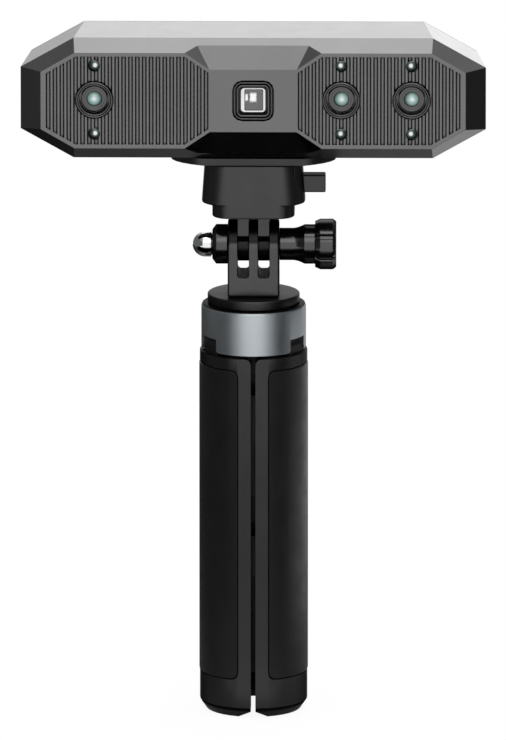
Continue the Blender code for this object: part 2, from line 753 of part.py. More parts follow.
def make_camera(number, x):
    """One camera: a stepped ring in the face, the lens barrel behind it, and its lens."""
    front = (x, HEAD_FRONT, CAMERA_ROW)
    inner = CAMERA_RING_BORE
    rim = CAMERA_RING_RADIUS - CAMERA_RING_RIM
    profile = [
        (inner, 0),
        (inner + CAMERA_RING_RIM, CAMERA_RING_PROUD),
        (rim - CAMERA_RING_RIM, CAMERA_RING_PROUD),
        (rim, 0),
        (CAMERA_RING_RADIUS, 0),
        (CAMERA_RING_RADIUS, -CAMERA_RING_DEPTH),
        (inner, -CAMERA_RING_DEPTH),
    ]
    turned(f"camera_ring_{number}", profile, GREY_PLASTIC, front, "Y", STEPS, SCANNER)
    depth = HEAD_FRONT - BENCH_FRONT + FIT
    base = depth + CAMERA_BASE_HEIGHT
    face = -CAMERA_BARREL_RECESS
    seat = face - CAMERA_LENS_DEPTH
    profile = [
        (0, seat),
        (CAMERA_BORE, seat),
        (CAMERA_BORE, face - CAMERA_RING_STEP),
        (CAMERA_BORE + CAMERA_RING_STEP, face),
        (CAMERA_BARREL_RADIUS, face),
        (CAMERA_BARREL_RADIUS, base),
        (CAMERA_BASE_RADIUS, base),
        (CAMERA_BASE_RADIUS, depth),
        (0, depth),
    ]
    turned(f"camera_barrel_{number}", profile, GREY_PLASTIC, front, "Y", STEPS, SCANNER)
    top = face - CAMERA_RING_STEP
    profile = dome(CAMERA_LENS_RADIUS, CAMERA_LENS_RISE, top)
    profile += [(CAMERA_LENS_RADIUS, seat + FIT), (0, seat + FIT)]
    turned(f"camera_lens_{number}", profile, DARK_GLASS, front, "Y", STEPS, SCANNER)


def dome(radius, rise, foot, steps=4):
    """A cap of a sphere or of a flatter oval, from its top down to its rim at height foot."""
    points = []
    for step in range(steps + 1):
        angle = math.radians(90 * step / steps)
        points.append((radius * math.sin(angle), foot + rise * math.cos(angle)))
    points[0] = (0, foot + rise)
    return points


def make_light(number, x, sign):
    """One infrared light: a domed lens with a wider base that stands on the bench."""
    place = (x, HEAD_FRONT, CAMERA_ROW + sign * LIGHT_OFFSET)
    depth = HEAD_FRONT - BENCH_FRONT + FIT
    shoulder = -HEAD_WALL - 2 * FIT
    profile = dome(LIGHT_RADIUS, LIGHT_RADIUS, -LIGHT_RECESS - LIGHT_RADIUS, 3)
    profile += [
        (LIGHT_RADIUS, shoulder),
        (LIGHT_BASE_RADIUS, shoulder),
        (LIGHT_BASE_RADIUS, depth),
        (0, depth),
    ]
    turned(f"light_lens_{number}", profile, DARK_GLASS, place, "Y", SMALL_STEPS, SCANNER)


def square_ring(name, outer, inner, corner, low, high, look):
    """A rounded square frame round the projector's axis, from low to high along Y."""
    outlines = []
    for half in (outer, inner):
        outline = rounded_box(half, half, corner - (outer - half))
        outlines.append([(u, HEAD_MIDDLE + v) for u, v in outline])
    return slab(name, outlines, low, high, look, "Y", SCANNER)


def make_projector():
    """The projector: its nested bezel, the bright rim, the glass and the module behind them."""
    back = HEAD_FRONT + BEZEL_DEPTH
    bezel = square_ring(
        "projector_bezel", BEZEL_OUTER, BEZEL_INNER, BEZEL_CORNER, HEAD_FRONT, back, GREY_PLASTIC
    )
    corner = BEZEL_CORNER - (BEZEL_OUTER - BEZEL_GROOVE_OUTER)
    groove = square_ring(
        "bezel_groove", BEZEL_GROOVE_OUTER, BEZEL_GROOVE_INNER, corner, HEAD_FRONT - OVERRUN,
        HEAD_FRONT + BEZEL_GROOVE_DEPTH, None,
    )
    cut(bezel, groove)
    rim_front = HEAD_FRONT + RIM_SET_BACK
    rim = square_ring("projector_rim", RIM_OUTER, RIM_INNER, RIM_CORNER, rim_front, back, BRIGHT_RIM)
    glass_half = RIM_INNER + GLASS_LAP
    glass_front = HEAD_FRONT + GLASS_SET_BACK
    glass_back = glass_front + GLASS_THICKNESS
    seat = square_plate("glass_seat", glass_half + FIT, glass_front - FIT, back + OVERRUN, None)
    cut(rim, seat)
    square_plate("projector_glass", glass_half, glass_front, glass_back, DARK_GLASS)
    module = box(
        "projector_module",
        (-MODULE_HALF, back + FIT, HEAD_MIDDLE - MODULE_HALF),
        (MODULE_HALF, BENCH_FRONT - FIT, HEAD_MIDDLE + MODULE_HALF),
        BLACK_PLASTIC,
        SCANNER,
    )
    nose = square_plate("module_nose", glass_half, glass_back + FIT, back + FIT + OVERRUN, None)
    join(module, nose)


def square_plate(name, half, low, high, look):
    corner = RIM_CORNER - (RIM_OUTER - half)
    outline = [(u, HEAD_MIDDLE + v) for u, v in rounded_box(half, half, corner)]
    return slab(name, [outline], low, high, look, "Y", SCANNER)


def make_bench():
    """The metal plate that holds the cameras and the projector in line, with posts for the board."""
    back = BENCH_FRONT + BENCH_THICKNESS
    bench = box(
        "optical_bench",
        (-BENCH_HALF_WIDTH, BENCH_FRONT, HEAD_MIDDLE - BENCH_HALF_HEIGHT),
        (BENCH_HALF_WIDTH, back, HEAD_MIDDLE + BENCH_HALF_HEIGHT),
        ALUMINIUM,
        SCANNER,
    )
    for sign_x, sign_z in CORNER_SIGNS:
        place = (sign_x * BENCH_POST_X, HEAD_MIDDLE + sign_z * BENCH_POST_Z)
        join(bench, rod(
            "bench_post", POST_RADIUS, back - BENCH_THICKNESS / 2, BOARD_FRONT - FIT, None, place, "Y",
            SMALL_STEPS, SCANNER,
        ))


def make_rear_fittings():
    """The board, the scan button, the status light, the cable socket and the screws."""
    board_back = BOARD_FRONT + BOARD_THICKNESS
    box(
        "main_board",
        (-BOARD_HALF_WIDTH, BOARD_FRONT, HEAD_MIDDLE - BOARD_HALF_HEIGHT),
        (BOARD_HALF_WIDTH, board_back, HEAD_MIDDLE + BOARD_HALF_HEIGHT),
        BOARD_GREEN,
        SCANNER,
    )
    inner = SEAM - HEAD_BACK - FIT
    stem = board_back + FIT + SCAN_BUTTON_TRAVEL - HEAD_BACK
    profile = [(0, SCAN_BUTTON_PROUD), (SCAN_BUTTON_RADIUS - SCAN_BUTTON_CROWN, SCAN_BUTTON_PROUD)]
    profile += [
        (SCAN_BUTTON_RADIUS, SCAN_BUTTON_PROUD - SCAN_BUTTON_CROWN),
        (SCAN_BUTTON_RADIUS, inner),
        (SCAN_BUTTON_RADIUS + SCAN_BUTTON_FLANGE, inner),
        (SCAN_BUTTON_RADIUS + SCAN_BUTTON_FLANGE, inner - SCAN_BUTTON_FLANGE),
        (SCAN_STEM_RADIUS, inner - SCAN_BUTTON_FLANGE),
        (SCAN_STEM_RADIUS, stem),
        (0, stem),
    ]
    button = turned(
        "scan_button", profile, GREY_PLASTIC, (SCAN_BUTTON_X, HEAD_BACK, HEAD_MIDDLE), "Y", STEPS, SCANNER
    )
    button.rotation_euler = (-math.pi / 2, 0, 0)
    rod(
        "status_light", STATUS_RADIUS, board_back + FIT, HEAD_BACK, LIGHT_PIPE, (STATUS_X, HEAD_MIDDLE), "Y",
        SMALL_STEPS, SCANNER,
    )
    make_usb_socket(board_back + FIT)
    for number, (sign_x, sign_z) in enumerate(CORNER_SIGNS, 1):
        top = HEAD_BACK - FIT
        profile = [
            (0, -SOCKET_DEPTH / 2),
            (SCREW_SOCKET_RADIUS, -SOCKET_DEPTH / 2),
            (SCREW_SOCKET_RADIUS, 0),
            (SCREW_HEAD_RADIUS, 0),
            (SCREW_HEAD_RADIUS, -SCREW_HEAD_HEIGHT),
            (SCREW_RADIUS, -SCREW_HEAD_HEIGHT),
            (SCREW_RADIUS, -SCREW_LENGTH),
            (0, -SCREW_LENGTH),
        ]
        place = (sign_x * SCREW_X, top, HEAD_MIDDLE + sign_z * SCREW_Z)
        screw = turned(f"rear_screw_{number}", profile, STEEL, place, "Y", SMALL_STEPS, SCANNER)
        screw.rotation_euler = (-math.pi / 2, 0, 0)


def make_usb_socket(front):
    """An oval cable socket with its tongue, standing on the board."""
    outline = [(USB_X + u, HEAD_MIDDLE + v) for u, v in rounded_box(
        USB_HALF_WIDTH, USB_HALF_HEIGHT, USB_HALF_HEIGHT)]
    hollow_half = USB_HALF_HEIGHT - USB_WALL
    hollow = [(USB_X + u, HEAD_MIDDLE + v) for u, v in rounded_box(
        USB_HALF_WIDTH - USB_WALL, hollow_half, hollow_half)]
    back = HEAD_BACK - FIT
    socket = slab("usb_socket", [outline], front, back, STEEL, "Y", SCANNER)
    cut(socket, slab("usb_hollow", [hollow], back - USB_DEPTH, back + OVERRUN, None, "Y", SCANNER))
    tongue = box(
        "usb_tongue",
        (USB_X - USB_TONGUE_HALF_WIDTH, back - USB_DEPTH - OVERRUN, HEAD_MIDDLE - USB_TONGUE_HALF_HEIGHT),
        (USB_X + USB_TONGUE_HALF_WIDTH, back - OVERRUN, HEAD_MIDDLE + USB_TONGUE_HALF_HEIGHT),
        None,
        SCANNER,
    )
    join(socket, tongue)


def make_flange():
    """The oval plate under the head, with flats front and back, and the foot that is latched."""
    reach = math.degrees(math.asin(FLANGE_FLAT / FLANGE_HALF_WIDTH))
    unit = arc((0, 0), 1, -reach, reach, SMALL_STEPS)
    unit += arc((0, 0), 1, 180 - reach, 180 + reach, SMALL_STEPS)
    outline = [(u * FLANGE_HALF_LENGTH, v * FLANGE_HALF_WIDTH) for u, v in unit]
    flange = slab("base_flange", [outline], FLANGE_BOTTOM, FLANGE_TOP, HEAD_PAINT, "Z", SCANNER)
    foot = box(
        "flange_foot",
        (-FOOT_HALF_LENGTH, -FOOT_HALF_DEPTH, FOOT_BOTTOM),
        (FOOT_HALF_LENGTH, FOOT_HALF_DEPTH, FLANGE_TOP - FLANGE_THICKNESS / 2),
        None,
        SCANNER,
    )
    nose_low, nose_high = nose_heights()
    notch = box(
        "latch_notch",
        (-FOOT_HALF_LENGTH - OVERRUN, -FOOT_HALF_DEPTH - OVERRUN, nose_low - FIT),
        (-FOOT_HALF_LENGTH + LATCH_NOSE + FIT, FOOT_HALF_DEPTH + OVERRUN, nose_high + FIT),
        None,
        SCANNER,
    )
    way = rod(
        "screw_way", MOUNT_SCREW_RADIUS + FIT, FOOT_BOTTOM - OVERRUN, FLANGE_TOP + OVERRUN, None,
        parent=SCANNER,
    )
    well = rod(
        "screw_head_way", MOUNT_SCREW_HEAD_RADIUS + FIT, FOOT_BOTTOM - OVERRUN,
        FOOT_BOTTOM + MOUNT_SCREW_HEAD_HEIGHT + FIT, None, parent=SCANNER,
    )
    cut(join(flange, foot), notch, way, well)
    top = HEAD_LIFT + MOUNT_SCREW_GRIP
    head_top = FOOT_BOTTOM + MOUNT_SCREW_HEAD_HEIGHT
    profile = [
        (0, top),
        (MOUNT_SCREW_RADIUS, top),
        (MOUNT_SCREW_RADIUS, head_top),
        (MOUNT_SCREW_HEAD_RADIUS, head_top),
        (MOUNT_SCREW_HEAD_RADIUS, FOOT_BOTTOM),
        (SOCKET_RADIUS, FOOT_BOTTOM),
        (SOCKET_RADIUS, FOOT_BOTTOM + SOCKET_DEPTH),
        (0, FOOT_BOTTOM + SOCKET_DEPTH),
    ]
    turned("mount_screw", profile, STEEL, steps=STEPS, parent=SCANNER)


def nose_heights():
    """The latch nose lies in the middle of the button's height."""
    middle = BUTTON_BOTTOM + BUTTON_HEIGHT / 2
    return middle - LATCH_NOSE_HEIGHT / 2, middle + LATCH_NOSE_HEIGHT / 2


def finger_outline():
    """One joint finger seen along the tilt axis, running up into the block."""
    points = [(FINGER_HALF_DEPTH, FINGER_SHOULDER), (FINGER_HALF_DEPTH, RECEIVER_BOTTOM + OVERRUN)]
    points += [(-u, v) for u, v in reversed(points)]
    return points + arc((0, 0), FINGER_RADIUS, 180 - FINGER_TURN, 360 + FINGER_TURN, SMALL_STEPS)


def latch_half_depth():
    return FOOT_HALF_DEPTH + 2 * FIT + LATCH_ARM


def make_receiver():
    """The block under the flange: a wide part over a narrower one, with two joint fingers."""
    upper = [
        (RECEIVER_STEP, rounded_box(RECEIVER_STEP_HALF_WIDTH, RECEIVER_HALF_DEPTH, RECEIVER_CORNER, 4)),
        (RECEIVER_TOP, rounded_box(RECEIVER_TOP_HALF_WIDTH, RECEIVER_HALF_DEPTH, RECEIVER_CORNER, 4)),
    ]
    body = loft("receiver_body", upper, BLACK_PLASTIC, "Z", SCANNER)
    base = rounded_box(RECEIVER_BASE_HALF_WIDTH, RECEIVER_HALF_DEPTH, RECEIVER_BASE_CORNER, 4)
    join(body, slab(
        "receiver_base", [base], RECEIVER_BOTTOM, RECEIVER_STEP + OVERRUN, None, "Z", SCANNER))
    for side in (-1, 1):
        middle = side * FINGER_PITCH / 2
        join(body, slab(
            "finger", [finger_outline()], middle - FINGER_THICKNESS / 2, middle + FINGER_THICKNESS / 2, None,
            "X", SCANNER,
        ))
    reach = FINGER_PITCH
    cut(body, rod("finger_hole", BOLT_RADIUS + FIT, -reach, reach, None, axis="X", parent=SCANNER))
    pocket_left = -RECEIVER_TOP_HALF_WIDTH + LATCH_WALL
    half_depth = latch_half_depth() + FIT
    latch_room = box(
        "latch_room",
        (pocket_left, -half_depth, BUTTON_BOTTOM - FIT),
        (LATCH_RIGHT + FIT, half_depth, RECEIVER_TOP + OVERRUN),
        None,
        SCANNER,
    )
    foot_room = box(
        "foot_room",
        (-FOOT_HALF_LENGTH - FIT, -FOOT_HALF_DEPTH - FIT, FOOT_BOTTOM - FIT),
        (FOOT_HALF_LENGTH + FIT, FOOT_HALF_DEPTH + FIT, RECEIVER_TOP),
        None,
        SCANNER,
    )
    button_way = box(
        "button_way",
        (FOOT_HALF_LENGTH, -BUTTON_HALF_DEPTH - FIT, BUTTON_BOTTOM - FIT),
        (RECEIVER_STEP_HALF_WIDTH + OVERRUN, BUTTON_HALF_DEPTH + FIT, BUTTON_BOTTOM + BUTTON_HEIGHT + FIT),
        None,
        SCANNER,
    )
    cut(body, latch_room, foot_room, button_way)
    make_latch_cover(pocket_left, half_depth)
    make_release_button()
    make_latch_spring(pocket_left)


def make_latch_cover(pocket_left, half_depth):
    """A thin plate that closes the latch's room and leaves the foot's way open."""
    cover = box(
        "latch_cover",
        (pocket_left + FIT, -half_depth + FIT, RECEIVER_TOP - LATCH_COVER_THICKNESS),
        (LATCH_RIGHT, half_depth - FIT, RECEIVER_TOP),
        BLACK_PLASTIC,
        SCANNER,
    )
    cut(cover, box(
        "cover_window",
        (-FOOT_HALF_LENGTH - FIT, -FOOT_HALF_DEPTH - FIT, RECEIVER_TOP - LATCH_COVER_THICKNESS - OVERRUN),
        (FOOT_HALF_LENGTH + FIT, FOOT_HALF_DEPTH + FIT, RECEIVER_TOP + OVERRUN),
        None,
        SCANNER,
    ))


def make_release_button():
    """The push button and the latch ring round the foot, whose nose holds the foot's far side."""
    top = BUTTON_BOTTOM + BUTTON_HEIGHT
    half_depth = latch_half_depth()
    button = box(
        "release_button",
        (LATCH_RIGHT - LATCH_ARM, -BUTTON_HALF_DEPTH, BUTTON_BOTTOM),
        (BUTTON_REACH, BUTTON_HALF_DEPTH, top),
        BLACK_PLASTIC,
        SCANNER,
    )
    bevel(button, BUTTON_ROUND)
    ring = box(
        "latch_ring", (-LATCH_SPAN, -half_depth, BUTTON_BOTTOM), (LATCH_RIGHT, half_depth, top), None, SCANNER
    )
    hollow = box(
        "latch_hollow",
        (-LATCH_SPAN + LATCH_ARM, -half_depth + LATCH_ARM, BUTTON_BOTTOM - OVERRUN),
        (LATCH_RIGHT - LATCH_ARM, half_depth - LATCH_ARM, top + OVERRUN),
        None,
        SCANNER,
    )
    cut(ring, hollow)
    nose_low, nose_high = nose_heights()
    nose = box(
        "latch_nose",
        (-LATCH_SPAN + LATCH_ARM / 2, -BUTTON_HALF_DEPTH, nose_low),
        (-FOOT_HALF_LENGTH + LATCH_NOSE, BUTTON_HALF_DEPTH, nose_high),
        None,
        SCANNER,
    )
    join(button, ring, nose)


def make_latch_spring(pocket_left):
    """The coil that pushes the button out, between the latch ring and the block's wall."""
    start = pocket_left + FIT + SPRING_WIRE_RADIUS
    end = -LATCH_SPAN - FIT - SPRING_WIRE_RADIUS
    curve = bpy.data.curves.new("latch_spring", "CURVE")
    curve.dimensions = "3D"
    curve.bevel_depth = SPRING_WIRE_RADIUS
    curve.bevel_resolution = 1
    curve.use_fill_caps = True
    count = SPRING_TURNS * SPRING_TURN_POINTS + 1
    spline = curve.splines.new("POLY")
    spline.points.add(count - 1)
    height = BUTTON_BOTTOM + BUTTON_HEIGHT / 2
    for number, point in enumerate(spline.points):
        angle = math.tau * number / SPRING_TURN_POINTS
        along = start + (end - start) * number / (count - 1)
        point.co = (along, SPRING_RADIUS * math.cos(angle), height + SPRING_RADIUS * math.sin(angle), 1)
    maker = bpy.data.objects.new("latch_spring", curve)
    CUTTERS.objects.link(maker)
    smooth(add_object("latch_spring", solid_mesh(maker), STEEL, parent=SCANNER), 60)


def make_bracket():
    """The three prongs, cut from one round-topped block, and the disc that it turns on."""
    bottom = -AXIS_ABOVE_BRACKET
    outline = [(-BRACKET_HALF_DEPTH, bottom), (BRACKET_HALF_DEPTH, bottom)]
    outline += arc((0, 0), BRACKET_HALF_DEPTH, 0, 180, FINE_STEPS // 2)
    bracket = slab("three_prong_bracket", [outline], -BRACKET_SIDE, BRACKET_SIDE, BLACK_PLASTIC, "X", MOUNT)
    bevel(bracket, BRACKET_BEVEL, 1, 60)
    top = BRACKET_HALF_DEPTH + OVERRUN
    for sign in (-1, 1):
        middle = sign * FINGER_PITCH / 2
        half = SLOT_WIDTH / 2
        left = arc((middle - half + SLOT_CORNER, SLOT_CORNER - SLOT_DEPTH), SLOT_CORNER, 180, 270, 3)
        right = arc((middle + half - SLOT_CORNER, SLOT_CORNER - SLOT_DEPTH), SLOT_CORNER, 270, 360, 3)
        outline = [(middle - half, top)] + left + right + [(middle + half, top)]
        reach = BRACKET_HALF_DEPTH + OVERRUN
        cut(bracket, slab("prong_slot", [outline], -reach, reach, None, "Y", MOUNT))
    reach = BRACKET_SIDE + OVERRUN
    cut(bracket, rod("bolt_hole", BOLT_RADIUS + FIT, -reach, reach, None, axis="X", parent=MOUNT))
    stud_top = stud_bottom() + STUD_LENGTH - TILT_HEIGHT
    stud_way = STUD_RADIUS + FIT
    cut(bracket, rod("stud_way", stud_way, bottom - OVERRUN, stud_top + FIT, None, parent=MOUNT))
    edge = [(DISC_RADIUS - DISC_ROUND, DISC_TOP), (DISC_RADIUS, DISC_TOP - DISC_ROUND)]
    profile = [(stud_way, DISC_TOP)] + edge + [(DISC_RADIUS, DISC_BOTTOM), (stud_way, DISC_BOTTOM)]
    disc = turned("bracket_disc", profile, BLACK_PLASTIC, (0, 0, -TILT_HEIGHT), "Z", FINE_STEPS, MOUNT)
    return disc


def make_nut():
    """The nut holder on the bracket's left, and the domed nut that it keeps from turning."""
    face = BRACKET_SIDE + FIT
    end = face + NUT_HOLDER_LENGTH
    bolt_way = BOLT_RADIUS + FIT
    nut_way = CAP_NUT_SKIRT_RADIUS + FIT
    floor = end - CAP_NUT_DEPTH
    profile = [
        (nut_way, end),
        (NUT_HOLDER_FACE_RADIUS, end),
        (NUT_HOLDER_RADIUS, end - NUT_HOLDER_CHAMFER),
        (NUT_HOLDER_RADIUS, face),
        (bolt_way, face),
        (bolt_way, floor),
        (nut_way, floor),
    ]
    holder = turned("nut_holder", profile, GLOSS_BLACK, axis="X", steps=STEPS, parent=MOUNT)
    holder.rotation_euler = (0, -math.pi / 2, 0)
    tip = CAP_NUT_REACH
    profile = dome(CAP_NUT_RADIUS, CAP_NUT_RADIUS, tip - CAP_NUT_RADIUS, 5)
    inner_end = tip - CAP_NUT_RADIUS / 2
    profile += [
        (CAP_NUT_RADIUS, end + FIT),
        (CAP_NUT_SKIRT_RADIUS, end + FIT),
        (CAP_NUT_SKIRT_RADIUS, floor + FIT),
        (bolt_way, floor + FIT),
        (bolt_way, inner_end - bolt_way),
        (0, inner_end - bolt_way),
    ]
    nut = turned("cap_nut", profile, CHROME, axis="X", steps=STEPS, parent=MOUNT)
    nut.rotation_euler = (0, -math.pi / 2, 0)


def lobed_outline(radius):
    """The knob's outline: wide lobes with a shallow groove between two of them."""
    points = []
    pitch = 360 / KNOB_LOBES
    for lobe in range(KNOB_LOBES):
        middle = KNOB_PHASE + lobe * pitch
        half = pitch * KNOB_LOBE_SHARE / 2
        wall = pitch * KNOB_WALL_SHARE
        points += arc((0, 0), radius, middle - half, middle + half, 3)
        floor = radius - KNOB_GROOVE_DEPTH
        points += arc((0, 0), floor, middle + half + wall, middle + pitch - half - wall, 2)
    return points


def make_knob():
    """The thumb knob: a waisted neck, a plain collar and a seven-lobed head; and its bolt."""
    neck_start = BRACKET_SIDE + FIT
    neck_end = neck_start + KNOB_NECK_LENGTH
    flare_end = neck_end + KNOB_FLARE_LENGTH
    head_start = flare_end + KNOB_COLLAR_LENGTH
    head_end = head_start + KNOB_HEAD_LENGTH
    profile = [(0, head_start + OVERRUN), (KNOB_COLLAR_RADIUS, head_start + OVERRUN)]
    swell = KNOB_COLLAR_RADIUS - KNOB_NECK_RADIUS
    for share in KNOB_FLARE_SHARES:
        radius = KNOB_NECK_RADIUS + swell * share**KNOB_FLARE_POWER
        profile.append((radius, neck_end + KNOB_FLARE_LENGTH * share))
    profile += [(KNOB_NECK_RADIUS, neck_start), (0, neck_start)]
    knob = turned("thumb_knob", profile, GLOSS_BLACK, axis="X", steps=STEPS, parent=CLAMP)
    back_edge = lobed_outline(KNOB_HEAD_RADIUS - KNOB_BACK_CHAMFER)
    front_edge = lobed_outline(KNOB_HEAD_RADIUS - KNOB_FRONT_CHAMFER)
    full = lobed_outline(KNOB_HEAD_RADIUS)
    sections = [
        (head_start, back_edge),
        (head_start + KNOB_CHAMFER_RUN, full),
        (head_end - KNOB_CHAMFER_RUN, full),
        (head_end, front_edge),
    ]
    join(knob, loft("knob_head", sections, None, "X", CLAMP))
    bore_end = neck_start + KNOB_BORE_LENGTH
    bore = BOLT_RADIUS + FIT
    cut(knob, rod("knob_bore", bore, neck_start - OVERRUN, bore_end, None, axis="X", parent=CLAMP))
    nut_end = CAP_NUT_REACH - CAP_NUT_RADIUS / 2 - BOLT_RADIUS - FIT
    rod("clamp_bolt", BOLT_RADIUS, FIT - nut_end, bore_end - FIT, STEEL, axis="X", parent=CLAMP)


def stud_bottom():
    return COLLAR_TOP - STUD_WEB - STUD_HEAD_HEIGHT - FIT


def make_collar():
    """The metal collar, notched for the three leg lugs, and the stud that the bracket turns on."""
    edge = arc((COLLAR_RADIUS - COLLAR_ROUND, COLLAR_TOP - COLLAR_ROUND), COLLAR_ROUND, 90, 0, 2)
    web_bottom = COLLAR_TOP - STUD_WEB
    stud_way = STUD_RADIUS + FIT
    profile = [(stud_way, COLLAR_TOP)] + edge + [
        (COLLAR_RADIUS, COLLAR_BOTTOM),
        (WELL_RADIUS, COLLAR_BOTTOM),
        (WELL_RADIUS, web_bottom),
        (stud_way, web_bottom),
    ]
    collar = turned("tripod_collar", profile, ANODISED, steps=FINE_STEPS, parent=TRIPOD)
    for name, angle in LEG_ANGLES.items():
        frame = axis_empty(f"{name}_notch_frame", (0, 0, 0), angle)
        notch = notch_outline()
        cut(collar, slab("leg_notch", [notch], NOTCH_FLOOR, COLLAR_RADIUS + OVERRUN, None, "X", frame))
        reach = PIN_LENGTH / 2 + FIT
        cut(collar, rod(
            "pin_hole", PIN_RADIUS + FIT, -reach, reach, None, (PIN_REACH, PIN_HEIGHT), "Y", SMALL_STEPS,
            frame,
        ))
        rod(
            f"{name}_hinge_pin", PIN_RADIUS, FIT - reach, reach - FIT, STEEL, (PIN_REACH, PIN_HEIGHT), "Y",
            SMALL_STEPS, frame,
        )
    low = stud_bottom()
    profile = [
        (0, low + STUD_LENGTH),
        (STUD_RADIUS, low + STUD_LENGTH),
        (STUD_RADIUS, low + STUD_HEAD_HEIGHT),
        (STUD_HEAD_RADIUS, low + STUD_HEAD_HEIGHT),
        (STUD_HEAD_RADIUS, low),
        (0, low),
    ]
    turned("swivel_stud", profile, STEEL, steps=STEPS, parent=TRIPOD)


def notch_outline():
    """A notch seen from outside: square at the top, flared at the collar's lower edge."""
    top = COLLAR_BOTTOM + NOTCH_HEIGHT
    foot = COLLAR_BOTTOM - OVERRUN
    flare = arc(
        (NOTCH_HALF_WIDTH + NOTCH_ROUND, COLLAR_BOTTOM + NOTCH_ROUND), NOTCH_ROUND, 180, 270, 3
    )
    right = [(NOTCH_HALF_WIDTH, top)] + flare + [(NOTCH_HALF_WIDTH + NOTCH_ROUND, foot)]
    return right + [(-u, v) for u, v in reversed(right)]


def side_reach(radius, gap):
    """The angle, in degrees, at which a third's side face meets a radius."""
    return 60 - math.degrees(math.asin(gap / radius))


def third(outer, inner, gap, steps=LEG_ARC_STEPS):
    """A third of a round bar, with side faces set back from the 60 degree lines by a gap."""
    reach = side_reach(outer, gap)
    spread = (inner - gap / math.sin(math.radians(60))) * math.tan(math.radians(60))
    return arc((0, 0), outer, -reach, reach, steps) + [(inner, spread), (inner, -spread)]


def pocket_outline(outer, gap):
    """A leg's hollow, which opens through its inner face."""
    half = LEG_MOUTH / 2
    start = gap / math.sin(math.radians(60)) + half / math.tan(math.radians(60))
    end = LEG_INNER / 2
    return third(outer, start, gap)[:-2] + [(start, half), (end, half), (end, -half), (start, -half)]


def pad_solid(name, outer, inner, angle, low, high, corner, look, frame):
    """A curved plate on the leg's outer face, with round corners."""
    outline = arc((0, 0), outer, -angle, angle, PAD_ARC_STEPS)
    outline += arc((0, 0), inner, angle, -angle, PAD_ARC_STEPS)
    pad = slab(name, [outline], low, high, look, "Z", frame)
    bm = bmesh.new()
    bm.from_mesh(pad.data)
    half = (high - low) / 2
    corners = [
        edge for edge in bm.edges
        if all(abs(abs(v.co.z) - half) < WELD for v in edge.verts)
        and abs(edge.verts[0].co.z - edge.verts[1].co.z) < WELD
        and all(abs(abs(math.atan2(v.co.y, v.co.x)) - math.radians(angle)) < WELD for v in edge.verts)
        and edge.calc_length() < 2 * (outer - inner)
    ]
    bmesh.ops.bevel(bm, geom=corners, offset=corner, segments=4, affect="EDGES", profile=0.5)
    bm.to_mesh(pad.data)
    bm.free()
    return pad


def round_top_edges(leg, width):
    """Rounds the two edges where the side faces meet the leg's top."""
    bm = bmesh.new()
    bm.from_mesh(leg.data)
    top = max(vertex.co.z for vertex in bm.verts)
    edges = []
    for edge in bm.edges:
        a, b = (vertex.co for vertex in edge.verts)
        if abs(a.z - top) > WELD or abs(b.z - top) > WELD:
            continue
        if edge.calc_length() > LEG_RADIUS / 2 and abs(a.y + b.y) > LEG_INNER:
            sides = sorted(face.normal.z for face in edge.link_faces)
            if sides[0] < 0.5 < sides[1]:
                edges.append(edge)
    bmesh.ops.bevel(bm, geom=edges, offset=width, segments=4, affect="EDGES", profile=0.5)
    bm.to_mesh(leg.data)
    bm.free()


def make_leg(name, angle):
    """One leg with its lug, its grip pad and its foot, on the hinge's axis."""
    turn = math.radians(angle)
    place = (PIN_REACH * math.cos(turn), PIN_REACH * math.sin(turn), PIN_HEIGHT)
    hinge = axis_empty(f"{name}_leg_axis", place, angle)
    frame = axis_empty(f"{name}_leg_frame", (-PIN_REACH, 0, -PIN_HEIGHT))
    frame.parent = hinge
    gap = LEG_GAP / 2
    low = FOOT_HEIGHT + FIT
    leg = slab(f"{name}_leg", [third(LEG_RADIUS, LEG_INNER, gap)], low, LEG_TOP, GREY_PLASTIC, "Z", frame)
    round_top_edges(leg, LEG_TOP_ROUND)
    hollow = pocket_outline(LEG_POCKET_RADIUS, gap + LEG_WALL)
    for start, end in (
        (low - OVERRUN, POCKET_LOW_TOP),
        (POCKET_MIDDLE_LOW, POCKET_MIDDLE_HIGH),
        (POCKET_UPPER_LOW, POCKET_UPPER_HIGH),
    ):
        cut(leg, slab("leg_pocket", [hollow], start, end, None, "Z", frame))
    recess_floor = LEG_RADIUS + PAD_PROUD - PAD_THICKNESS - FIT
    side = math.degrees(FIT / LEG_RADIUS)
    cut(leg, pad_solid(
        "pad_recess", LEG_RADIUS + OVERRUN, recess_floor, PAD_ANGLE + side, PAD_LOW - FIT, PAD_HIGH + FIT,
        PAD_CORNER + FIT, None, frame,
    ))
    pad_outer = LEG_RADIUS + PAD_PROUD
    pad = pad_solid(
        f"{name}_grip", pad_outer, pad_outer - PAD_THICKNESS, PAD_ANGLE, PAD_LOW, PAD_HIGH, PAD_CORNER,
        RUBBER, frame,
    )
    smooth(pad)
    add_lug(leg, frame)
    make_foot(name, gap, frame)


def add_lug(leg, frame):
    """The lug on the pin, and the trough that clears the collar when the leg swings out."""
    trough = TROUGH_HALF_WIDTH
    pin = (PIN_REACH, PIN_HEIGHT)
    cut(leg, rod("hinge_trough", TROUGH_RADIUS, -trough, trough, None, pin, "Y", STEPS, frame))
    half = LUG_HALF_WIDTH
    root = LEG_TOP - LUG_ROOT
    join(leg, rod("lug_barrel", LUG_RADIUS, -half, half, None, pin, "Y", STEPS, frame))
    join(leg, box(
        "lug_web",
        (PIN_REACH - LUG_RADIUS, -half + WELD, root),
        (PIN_REACH + LUG_RADIUS, half - WELD, PIN_HEIGHT),
        None,
        frame,
    ))
    reach = half + OVERRUN
    cut(leg, rod("lug_hole", PIN_RADIUS + FIT, -reach, reach, None, pin, "Y", SMALL_STEPS, frame))


